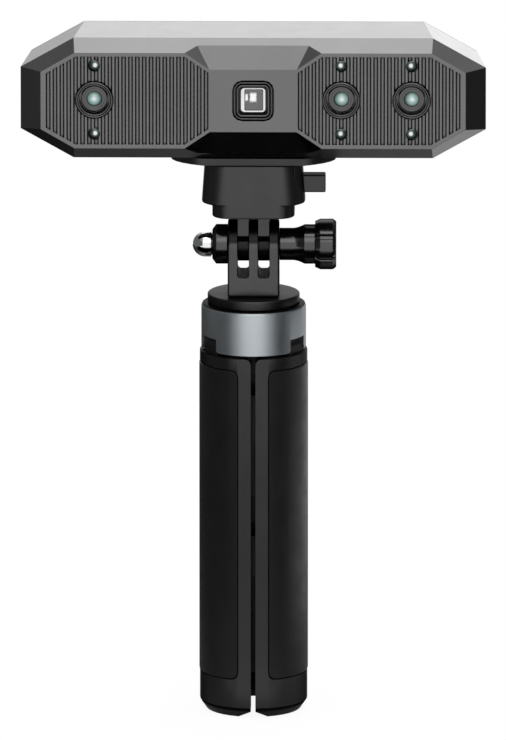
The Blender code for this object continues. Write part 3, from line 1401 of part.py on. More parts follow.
def make_foot(name, gap, frame):
    """The rubber foot: chamfered outside and along the gaps, with a lip inside the leg."""
    base = third(LEG_RADIUS - FOOT_CHAMFER, LEG_INNER + FOOT_SIDE_CHAMFER, gap + FOOT_SIDE_CHAMFER)
    side_share = FOOT_SIDE_HEIGHT / FOOT_HEIGHT
    middle_radius = LEG_RADIUS - FOOT_CHAMFER * (1 - side_share)
    sections = [
        (0, base),
        (FOOT_SIDE_HEIGHT, third(middle_radius, LEG_INNER, gap)),
        (FOOT_HEIGHT, third(LEG_RADIUS, LEG_INNER, gap)),
    ]
    foot = loft(f"{name}_foot", sections, RUBBER, "Z", frame)
    lip_radius = LEG_POCKET_RADIUS - FIT
    lip_gap = gap + LEG_WALL + FIT
    spread_share = lip_gap / math.sin(math.radians(60))
    lip = third(lip_radius, max(LEG_INNER, spread_share) + FOOT_LIP_WALL, lip_gap)
    join(foot, slab("foot_lip", [lip], FOOT_HEIGHT / 2, FOOT_HEIGHT + FOOT_LIP_HEIGHT, None, "Z", frame))
    hollow = pocket_outline(lip_radius - FOOT_LIP_WALL, lip_gap + FOOT_LIP_WALL)
    cut(foot, slab(
        "foot_hollow", [hollow], -OVERRUN, FOOT_HEIGHT + FOOT_LIP_HEIGHT + OVERRUN, None, "Z", frame))


def make_head():
    make_front_shell()
    make_rear_shell()
    light = 0
    for number, x in enumerate(CAMERA_PLACES, 1):
        make_camera(number, x)
        for sign in (1, -1):
            light += 1
            make_light(light, x, sign)
    make_projector()
    make_bench()
    make_rear_fittings()
    make_flange()


def build():
    make_head()
    make_receiver()
    make_bracket()
    make_nut()
    make_knob()
    make_collar()
    for name, angle in LEG_ANGLES.items():
        make_leg(name, angle)


build()
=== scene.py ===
import math

import bmesh
import bpy
from mathutils import Matrix, Vector


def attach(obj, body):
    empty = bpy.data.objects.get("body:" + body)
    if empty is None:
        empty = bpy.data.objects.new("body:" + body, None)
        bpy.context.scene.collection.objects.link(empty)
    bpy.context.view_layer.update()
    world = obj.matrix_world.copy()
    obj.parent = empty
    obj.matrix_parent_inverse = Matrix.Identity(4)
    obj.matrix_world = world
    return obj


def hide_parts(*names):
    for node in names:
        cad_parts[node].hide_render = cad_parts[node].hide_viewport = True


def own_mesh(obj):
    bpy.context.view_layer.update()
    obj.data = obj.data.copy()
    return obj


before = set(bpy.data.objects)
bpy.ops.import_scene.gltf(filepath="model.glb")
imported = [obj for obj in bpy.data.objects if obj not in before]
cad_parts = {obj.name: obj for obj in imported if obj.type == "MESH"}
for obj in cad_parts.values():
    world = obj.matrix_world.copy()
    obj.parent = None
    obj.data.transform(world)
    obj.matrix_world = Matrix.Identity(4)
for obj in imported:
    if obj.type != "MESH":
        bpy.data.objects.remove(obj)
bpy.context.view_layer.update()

# The scanner on its mini tripod as it looks: the CAD's nodes with their looks and soft edges,
# finer pieces that stand in for some of them, and a white studio.

MM = 0.001

# Places in the row frame, in metres, as the CAD has them.
TILT = 0.144  # height of the tilt axis
ROW = 0.1918  # height of the three cameras
HEAD_MIDDLE = 0.1916
FRONT = -0.0155
BACK = 0.0147
CAMERAS = (-0.0479, 0.0266, 0.0478)
LIGHT_OFFSET = 0.0105  # from a camera up or down to its lamps
SCAN_BUTTON = 0.03  # to the right of the middle, on the rear
SCREW_OUT = 0.0575
SCREW_UP = 0.008

# The view: nearly parallel, 13 degrees down, from a long way off.
VIEW_AZIMUTH = 0.64
VIEW_ELEVATION = 13.0
VIEW_DISTANCE = 7.0
VIEW_TARGET = (-0.0002, 0.0, 0.1048)
SENSOR = 24.0
PIXELS_PER_METRE = 3300
PICTURE_HEIGHT = 740
FOCAL = PIXELS_PER_METRE * VIEW_DISTANCE / PICTURE_HEIGHT * SENSOR


# ---------------------------------------------------------------- node helpers

def add(tree, kind, inputs=None, **props):
    """A shader node; inputs are values or sockets, by name or number."""
    node = tree.nodes.new(kind)
    for key, value in props.items():
        setattr(node, key, value)
    for key, value in (inputs or {}).items():
        if isinstance(value, bpy.types.NodeSocket):
            tree.links.new(value, node.inputs[key])
        else:
            node.inputs[key].default_value = value
    return node


def grey(level):
    return (level, level, level, 1)


def place(tree):
    """The place of a shading point in its object's own axes."""
    return add(tree, "ShaderNodeTexCoord").outputs["Object"]


def axis_of(tree, vector, axis):
    return add(tree, "ShaderNodeSeparateXYZ", {"Vector": vector}).outputs[axis]


def stretched(tree, vector, scale):
    return add(tree, "ShaderNodeMapping", {"Vector": vector, "Scale": scale}).outputs["Vector"]


def noise(tree, vector, scale, detail=3, rough=0.55):
    return add(
        tree, "ShaderNodeTexNoise",
        {"Vector": vector, "Scale": scale, "Detail": detail, "Roughness": rough},
    ).outputs["Fac"]


def span(tree, value, low, high, start=0.0, end=1.0):
    """Value moved from start..end to low..high, clamped."""
    return add(
        tree, "ShaderNodeMapRange",
        {"Value": value, "From Min": start, "From Max": end, "To Min": low, "To Max": high},
    ).outputs["Result"]


def math_node(tree, operation, a, b=0.0):
    return add(tree, "ShaderNodeMath", {0: a, 1: b}, operation=operation).outputs[0]


def product(tree, a, b):
    return math_node(tree, "MULTIPLY", a, b)


def ramp(tree, value, stops):
    node = add(tree, "ShaderNodeValToRGB", {"Fac": value})
    band = node.color_ramp
    while len(band.elements) > 1:
        band.elements.remove(band.elements[0])
    band.elements[0].position = stops[0][0]
    band.elements[0].color = (*stops[0][1], 1)
    for position, colour in stops[1:]:
        band.elements.new(position).color = (*colour, 1)
    return node.outputs["Color"]


def mix_colour(tree, share, a, b):
    inputs = {0: share, 6: a, 7: b}
    return add(tree, "ShaderNodeMix", inputs, data_type="RGBA").outputs[2]


def rounded_normal(tree, radius):
    return add(tree, "ShaderNodeBevel", {"Radius": radius}, samples=4).outputs["Normal"]


def edge_wear(tree, radius):
    """Near 1 on sharp outer edges, from the angle between the rounded and the true normal."""
    true = add(tree, "ShaderNodeNewGeometry").outputs["Normal"]
    both = {0: rounded_normal(tree, radius), 1: true}
    dot = add(tree, "ShaderNodeVectorMath", both, operation="DOT_PRODUCT").outputs["Value"]
    turn = math_node(tree, "SUBTRACT", 1.0, dot)
    return span(tree, turn, 0.0, 1.0, 0.02, 0.28)


def bump(tree, height, distance, normal=None):
    inputs = {"Height": height, "Distance": distance}
    if normal is not None:
        inputs["Normal"] = normal
    return add(tree, "ShaderNodeBump", inputs).outputs["Normal"]


def new_look(name):
    """A material and its node tree."""
    look = bpy.data.materials.new(name)
    look.use_nodes = True
    return look, look.node_tree


def shader_of(look):
    return look.node_tree.nodes["Principled BSDF"]


def base_colour(look):
    """The socket that feeds a look's base colour."""
    return shader_of(look).inputs["Base Color"].links[0].from_socket


SOCKETS = {
    "colour": "Base Color", "rough": "Roughness", "normal": "Normal", "metal": "Metallic",
    "specular": "Specular IOR Level", "coat": "Coat Weight", "coat_rough": "Coat Roughness",
    "tint": "Specular Tint", "glow": "Emission Color", "power": "Emission Strength",
}


def wire(look, **values):
    """Gives a look's shader its values or sockets, by the short names in SOCKETS."""
    for key, value in values.items():
        socket = shader_of(look).inputs[SOCKETS[key]]
        if isinstance(value, bpy.types.NodeSocket):
            look.node_tree.links.new(value, socket)
        else:
            socket.default_value = grey(value) if key == "tint" else value


# ---------------------------------------------------------------- materials

# The colour of painted shade.
PAINTED_SHADE = (0.004, 0.004, 0.004, 1)
GROOVE_REACH = 0.9 * MM
WORN_EDGE = 0.28 * MM
SOFT_EDGE = 0.2 * MM


def painted_groove_shade(tree):
    """Where painted shade goes: 1 in narrow grooves, 0 in the open."""
    inputs = {"Distance": GROOVE_REACH}
    open_share = add(tree, "ShaderNodeAmbientOcclusion", inputs, samples=6).outputs["AO"]
    return span(tree, open_share, 1.0, 0.0, 0.35, 0.85)


def moulded(name, dark, light, worn, rough, grain=3800, depth=0.004, wear=0.2, groove_shade=0.0, **more):
    """Paint or plastic: mottling, fine grain, hand polish, painted shade in grooves and worn edges.

    The depth of the grain is in mm; wear and groove_shade are the shares of worn colour and painted
    shade.
    """
    look, tree = new_look(name)
    where = place(tree)
    cloud = noise(tree, where, 55, 4, 0.6)
    colour = ramp(tree, cloud, ((0.3, dark), (0.7, light)))
    patchy = span(tree, noise(tree, where, 420, 3, 0.6), 0.0, 1.0, 0.42, 0.62)
    mask = product(tree, product(tree, edge_wear(tree, WORN_EDGE), patchy), wear)
    colour = mix_colour(tree, mask, colour, (*worn, 1))
    # Painted shade, darkest in narrow grooves.
    if groove_shade:
        colour = mix_colour(tree, product(tree, painted_groove_shade(tree), groove_shade), colour, PAINTED_SHADE)
    smear = noise(tree, stretched(tree, where, (1, 1, 0.45)), 130, 4, 0.65)
    fine = noise(tree, where, grain, 2, 0.5)
    wave = noise(tree, where, 240, 2, 0.4)
    height = math_node(tree, "ADD", fine, product(tree, wave, 0.6))
    wire(
        look, colour=colour, rough=span(tree, smear, rough[0], rough[1], 0.3, 0.7),
        normal=bump(tree, height, depth * MM, rounded_normal(tree, SOFT_EDGE)), **more,
    )
    return look


def turned_metal(name, dark, light, rough, axis, depth=0.003):
    """Turned metal: fine lines round the axis, faint stains and bright edges; depth in mm."""
    look, tree = new_look(name)
    where = place(tree)
    scale = [60, 60, 60]
    scale[axis] = 9000
    lines = noise(tree, stretched(tree, where, scale), 1, 2, 0.6)
    cloud = noise(tree, where, 90, 3, 0.6)
    both = math_node(tree, "ADD", product(tree, lines, 0.45), product(tree, cloud, 0.55))
    colour = ramp(tree, both, ((0.35, dark), (0.65, light)))
    edge = product(tree, edge_wear(tree, 0.2 * MM), 0.25)
    colour = mix_colour(tree, edge, colour, (0.8, 0.82, 0.84, 1))
    wire(
        look, colour=colour, rough=span(tree, both, rough[0], rough[1], 0.3, 0.7), metal=1.0,
        normal=bump(tree, lines, depth * MM),
    )
    return look


def banded_collar(name):
    """The anodised band of the collar, with painted shade on its top face."""
    look = turned_metal(name, (0.58, 0.63, 0.66), (0.66, 0.71, 0.74), (0.32, 0.38), 2, depth=0.002)
    tree = look.node_tree
    # Painted shade: the top face is darkened.
    top = span(tree, axis_of(tree, place(tree), "Z"), 0.0, 1.0, 0.12560, 0.12575)
    shaded_top_colour = (0.060, 0.060, 0.062, 1)
    wire(look, colour=mix_colour(tree, top, base_colour(look), shaded_top_colour), tint=0.35)
    return look


def inner_shade(look, axis, low, high, share):
    """Paints shade on a look between two places along an axis, darkening its colour there."""
    tree = look.node_tree
    middle, half = (low + high) / 2, (high - low) / 2
    off = math_node(tree, "SUBTRACT", axis_of(tree, place(tree), axis), middle)
    away = math_node(tree, "ABSOLUTE", off)
    inside = span(tree, away, share, 0.0, half - 0.1 * MM, half + 0.1 * MM)
    wire(look, colour=mix_colour(tree, inside, base_colour(look), PAINTED_SHADE))
    return look


def bright_rim(name):
    """The projector's rim: a painted glow on its front, though it is no lamp, and painted shade on
    its inner walls.
    """
    look = moulded(
        name, (0.90, 0.90, 0.90), (0.94, 0.94, 0.94), (0.96, 0.96, 0.96), (0.25, 0.35),
        wear=0.1, power=0.42,
    )
    # Painted shade on the inner walls.
    inner_shade(look, "Y", 1.55 * MM, 6 * MM, 0.97)
    # Painted glow: the rim shines by itself in its own colour.
    wire(look, glow=base_colour(look))
    return look


def rubber(name):
    """Matt black rubber with fine pores."""
    look, tree = new_look(name)
    where = place(tree)
    cloud = noise(tree, where, 70, 4, 0.6)
    colour = ramp(tree, cloud, ((0.3, (0.009, 0.009, 0.0095)), (0.75, (0.014, 0.014, 0.015))))
    edge = product(tree, edge_wear(tree, 0.3 * MM), 0.3)
    colour = mix_colour(tree, edge, colour, (0.05, 0.05, 0.05, 1))
    inputs = {"Vector": where, "Scale": 2600.0}
    pores = add(tree, "ShaderNodeTexVoronoi", inputs).outputs["Distance"]
    shine = span(tree, noise(tree, where, 160, 3, 0.6), 0.38, 0.50, 0.3, 0.7)
    wire(
        look, colour=colour, rough=shine, specular=0.52, tint=0.75,
        normal=bump(tree, pores, 0.012 * MM),
    )
    return look


def radial(tree, steps, centre):
    """A colour that changes with the distance, in mm, from a centre in the piece's X and Y."""
    squares = []
    for axis, middle in zip("XY", centre):
        off = math_node(tree, "SUBTRACT", axis_of(tree, place(tree), axis), middle * MM)
        squares.append(math_node(tree, "POWER", off, 2.0))
    radius = math_node(tree, "SQRT", math_node(tree, "ADD", *squares))
    reach = steps[-1][0]
    share = math_node(tree, "DIVIDE", radius, reach * MM)
    return ramp(tree, share, [(distance / reach, colour) for distance, colour in steps])


def glass_with_painted_glow(name, steps, centre, grain, rough, coat, coat_rough):
    """Coated glass with rings of colour round a centre and a painted glow in those colours, though
    it is no lamp.
    """
    look, tree = new_look(name)
    colour = radial(tree, steps, centre)
    faint = noise(tree, place(tree), grain, 2, 0.5)
    wire(
        # Painted glow: the glass shines by itself in its own colours.
        look, colour=colour, rough=span(tree, faint, *rough), coat=coat, coat_rough=coat_rough,
        normal=bump(tree, faint, 0.001 * MM), glow=colour, power=0.3,
    )
    return look


def coated_lens(name, centre=(0, 0)):
    """The domed camera lens: a teal bloom that lightens towards a painted highlight in the middle,
    under a clear coat.
    """
    steps = (
        (0.0, (0.97, 0.99, 0.98)), (0.40, (0.88, 0.95, 0.93)), (0.75, (0.52, 0.70, 0.67)),
        (1.3, (0.40, 0.58, 0.54)), (1.7, (0.28, 0.42, 0.39)), (2.0, (0.16, 0.25, 0.23)),
        (2.2, (0.09, 0.14, 0.13)),
    )
    return glass_with_painted_glow(name, steps, centre, 900, (0.10, 0.16), 1.0, 0.03)


def lamp_dome(name, centre):
    """A smoked infrared lamp dome with a painted white glint in its middle, where its chip would
    show.
    """
    steps = (
        (0.0, (1.0, 1.0, 1.0)), (0.46, (0.92, 0.95, 0.94)), (0.68, (0.18, 0.24, 0.23)),
        (0.95, (0.045, 0.070, 0.066)), (1.45, (0.016, 0.026, 0.024)),
        (1.8, (0.002, 0.003, 0.003)), (2.1, (0.001, 0.001, 0.001)),
    )
    return glass_with_painted_glow(name, steps, centre, 1500, (0.14, 0.22), 0.5, 0.04)


def window_glass(name):
    """The projector's window: grey glass with painted reflections that glow, where the optics
    behind it would show.
    """
    look, tree = new_look(name)
    where = place(tree)
    rag = noise(tree, where, 1800, 3, 0.6)
    shift = span(tree, rag, -0.28 * MM, 0.28 * MM)

    def near(axis, middle, half, inner, outer):
        moved = math_node(tree, "ADD", axis_of(tree, where, axis), shift)
        off = math_node(tree, "ABSOLUTE", math_node(tree, "SUBTRACT", moved, middle * MM))
        return span(tree, off, 1.0, 0.0, half * inner * MM, half * outer * MM)

    # Painted reflections: two ragged light patches, which also glow.
    masks = []
    for middle, half_x, half_z in ((0.0, 0.98, 1.30), (-1.95, 0.36, 1.0)):
        in_x = near("X", middle, half_x, 0.8, 1.2)
        in_z = near("Z", 0.75, half_z, 0.75, 1.3)
        masks.append(product(tree, in_x, in_z))
    pale = math_node(tree, "MAXIMUM", *masks)
    base = ramp(tree, rag, ((0.3, (0.19, 0.19, 0.19)), (0.7, (0.26, 0.26, 0.26))))
    colour = mix_colour(tree, pale, base, (0.95, 0.96, 0.96, 1))
    wire(
        look, colour=colour, rough=span(tree, rag, 0.05, 0.10), coat=0.6, coat_rough=0.02,
        glow=colour, power=product(tree, pale, 0.5),
    )
    return look


def circuit_board(name):
    """Green lacquer with blocks of tracks."""
    look, tree = new_look(name)
    inputs = {"Vector": place(tree), "Scale": 420.0}
    cells = add(tree, "ShaderNodeTexVoronoi", inputs, distance="MANHATTAN").outputs["Distance"]
    colour = ramp(tree, cells, (
        (0.15, (0.012, 0.10, 0.045)), (0.4, (0.02, 0.15, 0.07)), (0.8, (0.35, 0.26, 0.08)),
    ))
    wire(
        look, colour=colour, rough=span(tree, cells, 0.35, 0.6),
        normal=bump(tree, cells, 0.02 * MM),
    )
    return look


# The looks by slot of the record, then those of single pieces.
LOOKS = {
    "head_shell": moulded(
        "satin_head_paint", (0.172, 0.172, 0.172), (0.184, 0.184, 0.184), (0.34, 0.34, 0.35),
        (0.215, 0.245), depth=0.0018, wear=0.3, groove_shade=0.85, metal=1.0,
    ),
    "black_plastic": moulded(
        "satin_black_plastic", (0.076, 0.076, 0.0765), (0.084, 0.084, 0.085),
        (0.16, 0.16, 0.16), (0.28, 0.34), groove_shade=0.6, tint=0.3, metal=0.93,
    ),
    "gloss_black": moulded(
        "gloss_black_plastic", (0.086, 0.086, 0.087), (0.098, 0.098, 0.099),
        (0.16, 0.16, 0.16), (0.13, 0.20), grain=1500, depth=0.0015, tint=0.1, metal=0.98,
    ),
    "grey_plastic": moulded(
        "satin_grey_plastic", (0.067, 0.067, 0.0675), (0.077, 0.077, 0.078),
        (0.12, 0.12, 0.12), (0.29, 0.35), tint=0.3, metal=0.9,
    ),
    "rubber": rubber("grip_rubber"),
    "chrome": turned_metal(
        "polished_chrome", (0.84, 0.85, 0.86), (0.90, 0.91, 0.92), (0.05, 0.08), 0,
        depth=0.00005,
    ),
    "steel": turned_metal("turned_steel", (0.38, 0.38, 0.39), (0.52, 0.52, 0.53), (0.22, 0.36), 1),
    "dark_glass": coated_lens("coated_lens"),
    "bright_rim": bright_rim("bright_rim_painted_glow"),
    "board": circuit_board("coated_circuit_board"),
    "bench": turned_metal("milled_bench", (0.52, 0.52, 0.54), (0.64, 0.64, 0.66), (0.25, 0.4), 0),
    "light_pipe": moulded(
        "milky_light_pipe", (0.60, 0.66, 0.64), (0.70, 0.76, 0.74), (0.8, 0.85, 0.83),
        (0.12, 0.2), wear=0.1,
    ),
    "window": window_glass("projector_window"),
    "barrel": moulded(
        "camera_barrel_face", (0.138, 0.138, 0.138), (0.158, 0.158, 0.158), (0.2, 0.2, 0.2),
        (0.34, 0.42), wear=0.1, metal=0.8,
    ),
    "ring": moulded(
        "camera_ring_paint", (0.135, 0.135, 0.135), (0.155, 0.155, 0.155), (0.28, 0.28, 0.28),
        (0.28, 0.33), groove_shade=0.9, metal=1.0,
    ),
    "flange": moulded(
        "satin_flange_plastic", (0.062, 0.062, 0.0625), (0.072, 0.072, 0.073),
        (0.12, 0.12, 0.12), (0.30, 0.38), wear=0.25, tint=0.3, metal=0.85,
    ),
    # Painted shade on all but the bracket's front and back faces.
    "bracket": inner_shade(moulded(
        "satin_bracket_plastic", (0.092, 0.092, 0.093), (0.104, 0.104, 0.105),
        (0.15, 0.15, 0.15), (0.30, 0.36), tint=0.26, metal=1.0,
    ), "Y", -7.4 * MM, 7.4 * MM, 0.85),
    # Painted shade on the button's top face.
    "button": inner_shade(moulded(
        "satin_button_plastic", (0.066, 0.066, 0.0665), (0.074, 0.074, 0.075),
        (0.14, 0.14, 0.14), (0.28, 0.34), tint=0.3, metal=0.93,
    ), "Z", TILT + 21.5 * MM, TILT + 24 * MM, 0.93),
    "foot": moulded(
        "dark_foot_rubber", (0.004, 0.004, 0.0045), (0.007, 0.007, 0.0075),
        (0.03, 0.03, 0.03), (0.5, 0.62), metal=0.6, tint=0.2,
    ),
    "disc": moulded(
        "satin_disc_plastic", (0.058, 0.058, 0.0585), (0.066, 0.066, 0.067),
        (0.14, 0.14, 0.14), (0.30, 0.36), wear=0.25, tint=0.44, metal=1.0,
    ),
    # Painted shade on the lower, rounded ends of the fingers.
    "receiver": inner_shade(moulded(
        "satin_receiver_plastic", (0.076, 0.076, 0.0765), (0.084, 0.084, 0.085),
        (0.16, 0.16, 0.16), (0.28, 0.34), groove_shade=0.6, tint=0.3, metal=0.93,
    ), "Z", -6 * MM, 3.9 * MM, 0.72),
    "collar": banded_collar("anodised_collar_band"),
}
# The painted highlights and glints of each camera's lens and lamps sit a little off the middle.
for number, (lamp_glint_shift, lens_highlight_shift) in enumerate(((0.30, -0.12), (-0.22, 0.22), (-0.22, 0.22)), 1):
    LOOKS[f"lamp_{number}"] = lamp_dome(f"smoked_lamp_dome_{number}", (lamp_glint_shift, 0.42))
    LOOKS[f"lens_{number}"] = coated_lens(f"coated_lens_{number}", (lens_highlight_shift, 0.12))


# ---------------------------------------------------------------- smoothing of CAD nodes

JOIN_DISTANCE = 0.004 * MM
SMOOTH_ANGLE = 32
FACET_ANGLE = 13
FLAT_ANGLE = 0.6
NORMAL_WEIGHT = 90


def smoothing_group(name, sharp_angle):
    """Joins the split corners, drops the imported normals and marks sharp edges by their angle."""
    group = bpy.data.node_groups.new(name, "GeometryNodeTree")
    group.interface.new_socket("Geometry", in_out="INPUT", socket_type="NodeSocketGeometry")
    group.interface.new_socket("Geometry", in_out="OUTPUT", socket_type="NodeSocketGeometry")
    start = group.nodes.new("NodeGroupInput")
    end = group.nodes.new("NodeGroupOutput")
    drop = group.nodes.new("GeometryNodeRemoveAttribute")
    drop.inputs["Name"].default_value = "custom_normal"
    join = group.nodes.new("GeometryNodeMergeByDistance")
    join.inputs["Distance"].default_value = JOIN_DISTANCE
    angle = group.nodes.new("GeometryNodeInputMeshEdgeAngle")
    sharp = group.nodes.new("FunctionNodeCompare")
    sharp.data_type = "FLOAT"
    sharp.operation = "GREATER_THAN"
    sharp.inputs[1].default_value = math.radians(sharp_angle)
    flip = group.nodes.new("FunctionNodeBooleanMath")
    flip.operation = "NOT"
    faces = group.nodes.new("GeometryNodeSetShadeSmooth")
    faces.domain = "FACE"
    faces.inputs["Shade Smooth"].default_value = True
    edges = group.nodes.new("GeometryNodeSetShadeSmooth")
    edges.domain = "EDGE"
    for source, target in (
        (start.outputs[0], drop.inputs["Geometry"]),
        (drop.outputs["Geometry"], join.inputs["Geometry"]),
        (join.outputs["Geometry"], faces.inputs["Geometry"]),
        (faces.outputs["Geometry"], edges.inputs["Geometry"]),
        (angle.outputs["Unsigned Angle"], sharp.inputs[0]),
        (sharp.outputs[0], flip.inputs[0]),
        (flip.outputs[0], edges.inputs["Shade Smooth"]),
        (edges.outputs["Geometry"], end.inputs[0]),
    ):
        group.links.new(source, target)
    return group


SMOOTH = smoothing_group("join_and_smooth", SMOOTH_ANGLE)
CRISP = smoothing_group("join_and_keep_facets", FACET_ANGLE)


def even_out(obj):
    """Keeps large flat faces flat beside their rounded edges."""
    even = obj.modifiers.new("even", "WEIGHTED_NORMAL")
    even.keep_sharp = True
    even.weight = NORMAL_WEIGHT


def soften(obj, width, group):
    """Joins the mesh and smooths it; a width also merges the flat faces and rounds the edges."""
    obj.modifiers.new("joined", "NODES").node_group = group
    if width:
        flat = obj.modifiers.new("flat", "DECIMATE")
        flat.decimate_type = "DISSOLVE"
        flat.angle_limit = math.radians(FLAT_ANGLE)
        edge = obj.modifiers.new("edges", "BEVEL")
        edge.width = width
        edge.segments = 2
        edge.limit_method = "ANGLE"
        edge.angle_limit = math.radians(SMOOTH_ANGLE)
        edge.use_clamp_overlap = True
        edge.harden_normals = False
    obj.modifiers.new("smoothed", "NODES").node_group = group
    even_out(obj)


FACETED = ("front_shell", "rear_shell")
EDGES = {
    "base_flange": 0.25, "tripod_collar": 0.15, "release_button": 0.12,
    "right_leg": 0.2, "left_leg": 0.2, "rear_leg": 0.2,
    "right_grip": 0.3, "left_grip": 0.3, "rear_grip": 0.3,
    "right_foot": 0.15, "left_foot": 0.15, "rear_foot": 0.15,
}
OWN_LOOKS = {
    "base_flange": "flange", "tripod_collar": "collar", "release_button": "button",
    "right_foot": "foot", "left_foot": "foot", "rear_foot": "foot",
}


def finish_nodes():
    """Gives every carried-over node its look, by its own name or its slot, and its edges."""
    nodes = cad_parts
    slots = {name: node.data.materials[0].name.split(".")[0] for name, node in nodes.items()}
    for name, node in nodes.items():
        for slot in node.material_slots:
            slot.material = LOOKS[OWN_LOOKS.get(name, slots[name])]
        soften(node, EDGES.get(name, 0) * MM, CRISP if name in FACETED else SMOOTH)


# ---------------------------------------------------------------- shapes

FORWARD = Matrix.Rotation(math.radians(90), 3, "X")
BACKWARD = Matrix.Rotation(math.radians(-90), 3, "X")
RIGHTWARD = Matrix.Rotation(math.radians(90), 3, "Y")
LEFTWARD = Matrix.Rotation(math.radians(-90), 3, "Y")
SWAP_XY = Matrix(((0, 1, 0, 0), (1, 0, 0, 0), (0, 0, 1, 0), (0, 0, 0, 1)))
NOTHING = 1e-7
ON_AXIS = 1e-9
WELD = 0.0005 * MM
SHARP_EDGE = 35
CORNER_REACH = 0.4


def mesh_object(name, bm):
    """A linked object from a finished bmesh, which is freed."""
    mesh = bpy.data.meshes.new(name)
    bm.to_mesh(mesh)
    bm.free()
    obj = bpy.data.objects.new(name, mesh)
    bpy.context.scene.collection.objects.link(obj)
    return obj


def stand_in(node, bm, look, body, spot=(0, 0, 0), turn=None):
    """A finer piece that rides on a body in the place of a CAD node; turn is a rotation."""
    bmesh.ops.remove_doubles(bm, verts=bm.verts, dist=WELD)
    bmesh.ops.recalc_face_normals(bm, faces=bm.faces)
    obj = mesh_object(f"fine_{node}", bm)
    obj.data.shade_smooth()
    obj.data.set_sharp_from_angle(angle=math.radians(SHARP_EDGE))
    obj.data.materials.append(LOOKS[look])
    matrix = Matrix.Translation(spot)
    if turn is not None:
        matrix = matrix @ turn.to_4x4()
    obj.matrix_world = matrix
    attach(obj, body)
    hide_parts(node)
    return obj


def rounded(profile, radius, steps):
    """A profile whose inner corners are rounded, each within 0.4 of its shorter side."""
    points = [Vector(p) for p in profile]
    result = [points[0]]
    for before, here, after in zip(points, points[1:], points[2:]):
        a, b = before - here, after - here
        if a.length < NOTHING or b.length < NOTHING:
            continue
        reach = min(radius, a.length * CORNER_REACH, b.length * CORNER_REACH)
        start, end = here + a.normalized() * reach, here + b.normalized() * reach
        for step in range(steps + 1):
            t = step / steps
            result.append((1 - t) ** 2 * start + 2 * t * (1 - t) * here + t * t * end)
    result.append(points[-1])
    return result


def lathe(profile, steps, radius, outline=None, round_steps=3):
    """A closed body turned about Z from (radius, height) points with corners of a radius in mm.

    The outline gives the reach at an angle. A profile that starts off the axis ends off it too,
    and its last ring joins its first.
    """
    bm = bmesh.new()
    rings = []
    for r, h in rounded(profile, radius * MM, round_steps):
        if r < ON_AXIS:
            rings.append([bm.verts.new((0, 0, h))])
            continue
        ring = []
        for step in range(steps):
            angle = math.tau * step / steps
            reach = outline(angle, r, h) if outline else r
            ring.append(bm.verts.new((reach * math.cos(angle), reach * math.sin(angle), h)))
        rings.append(ring)
    pairs = list(zip(rings, rings[1:]))
    if profile[0][0] > 0:
        pairs.append((rings[-1], rings[0]))
    for a, b in pairs:
        for i in range(steps):
            j = (i + 1) % steps
            if len(a) == 1:
                bm.faces.new((a[0], b[i], b[j]))
            elif len(b) == 1:
                bm.faces.new((a[i], b[0], a[j]))
            else:
                bm.faces.new((a[i], b[i], b[j], a[j]))
    return bm


def lofted(outlines, capped=True):
    """A body through outlines of (x, y, z) points in mm; without caps the last joins the first."""
    bm = bmesh.new()
    rings = [[bm.verts.new((x * MM, y * MM, z * MM)) for x, y, z in ring] for ring in outlines]
    pairs = list(zip(rings, rings[1:]))
    if not capped:
        pairs.append((rings[-1], rings[0]))
    for a, b in pairs:
        for i in range(len(a)):
            j = (i + 1) % len(a)
            bm.faces.new((a[i], a[j], b[j], b[i]))
    if capped:
        bm.faces.new(rings[0])
        bm.faces.new(rings[-1])
    return bm


def outward(bm):
    """Turns every face of a solid outwards, as the carving needs it."""
    bmesh.ops.recalc_face_normals(bm, faces=bm.faces)
    return bm


def square_points(left, right, low, high, corner, steps):
    """A rounded oblong, anticlockwise from its right side."""
    points = []
    for quarter, (u, v) in enumerate(((right, high), (left, high), (left, low), (right, low))):
        cu = u - corner if quarter in (0, 3) else u + corner
        cv = v - corner if quarter in (0, 1) else v + corner
        for step in range(steps + 1):
            angle = math.radians(90 * quarter + 90 * step / steps)
            points.append((cu + corner * math.cos(angle), cv + corner * math.sin(angle)))
    return points


def nested(sections, capped=False):
    """A body through upright oblongs, each (left, right, low, high, corner, depth) in mm."""
    return lofted([
        [(u, depth, v) for u, v in square_points(*oblong, 8)] for *oblong, depth in sections
    ], capped)


def pillar(sections):
    """A body through level oblongs, each (half width, half depth, corner, height) in mm."""
    return outward(lofted([
        [(u, v, height) for u, v in square_points(-wide, wide, -deep, deep, corner, 10)]
        for wide, deep, corner, height in sections
    ]))


def slab_x(outline, x0, x1):
    """A closed slab with that outline in y and z, from x0 to x1, all in mm."""
    return outward(lofted([[(x, y, z) for y, z in outline] for x in (x0, x1)]))


def block(x, y, z):
    """A box from (low, high) pairs in mm."""
    bm = bmesh.new()
    bmesh.ops.create_cube(bm, size=1, matrix=Matrix.Translation((0.5, 0.5, 0.5)))
    for vert in bm.verts:
        share = vert.co.copy()
        vert.co = [(low + (high - low) * part) * MM for (low, high), part in zip((x, y, z), share)]
    return bm


def cylinder(radius, length, matrix):
    """A round cutter in mm, along Z before its matrix."""
    bm = bmesh.new()
    bmesh.ops.create_cone(
        bm, cap_ends=True, segments=64, radius1=radius * MM, radius2=radius * MM,
        depth=length * MM, matrix=matrix,
    )
    return bm


def arc_points(middle, radius, start, end, step):
    """Points of an arc in mm, by angle in degrees."""
    count = max(1, round(abs(end - start) / step))
    points = []
    for number in range(count + 1):
        angle = math.radians(start + (end - start) * number / count)
        points.append((middle[0] + radius * math.cos(angle), middle[1] + radius * math.sin(angle)))
    return points


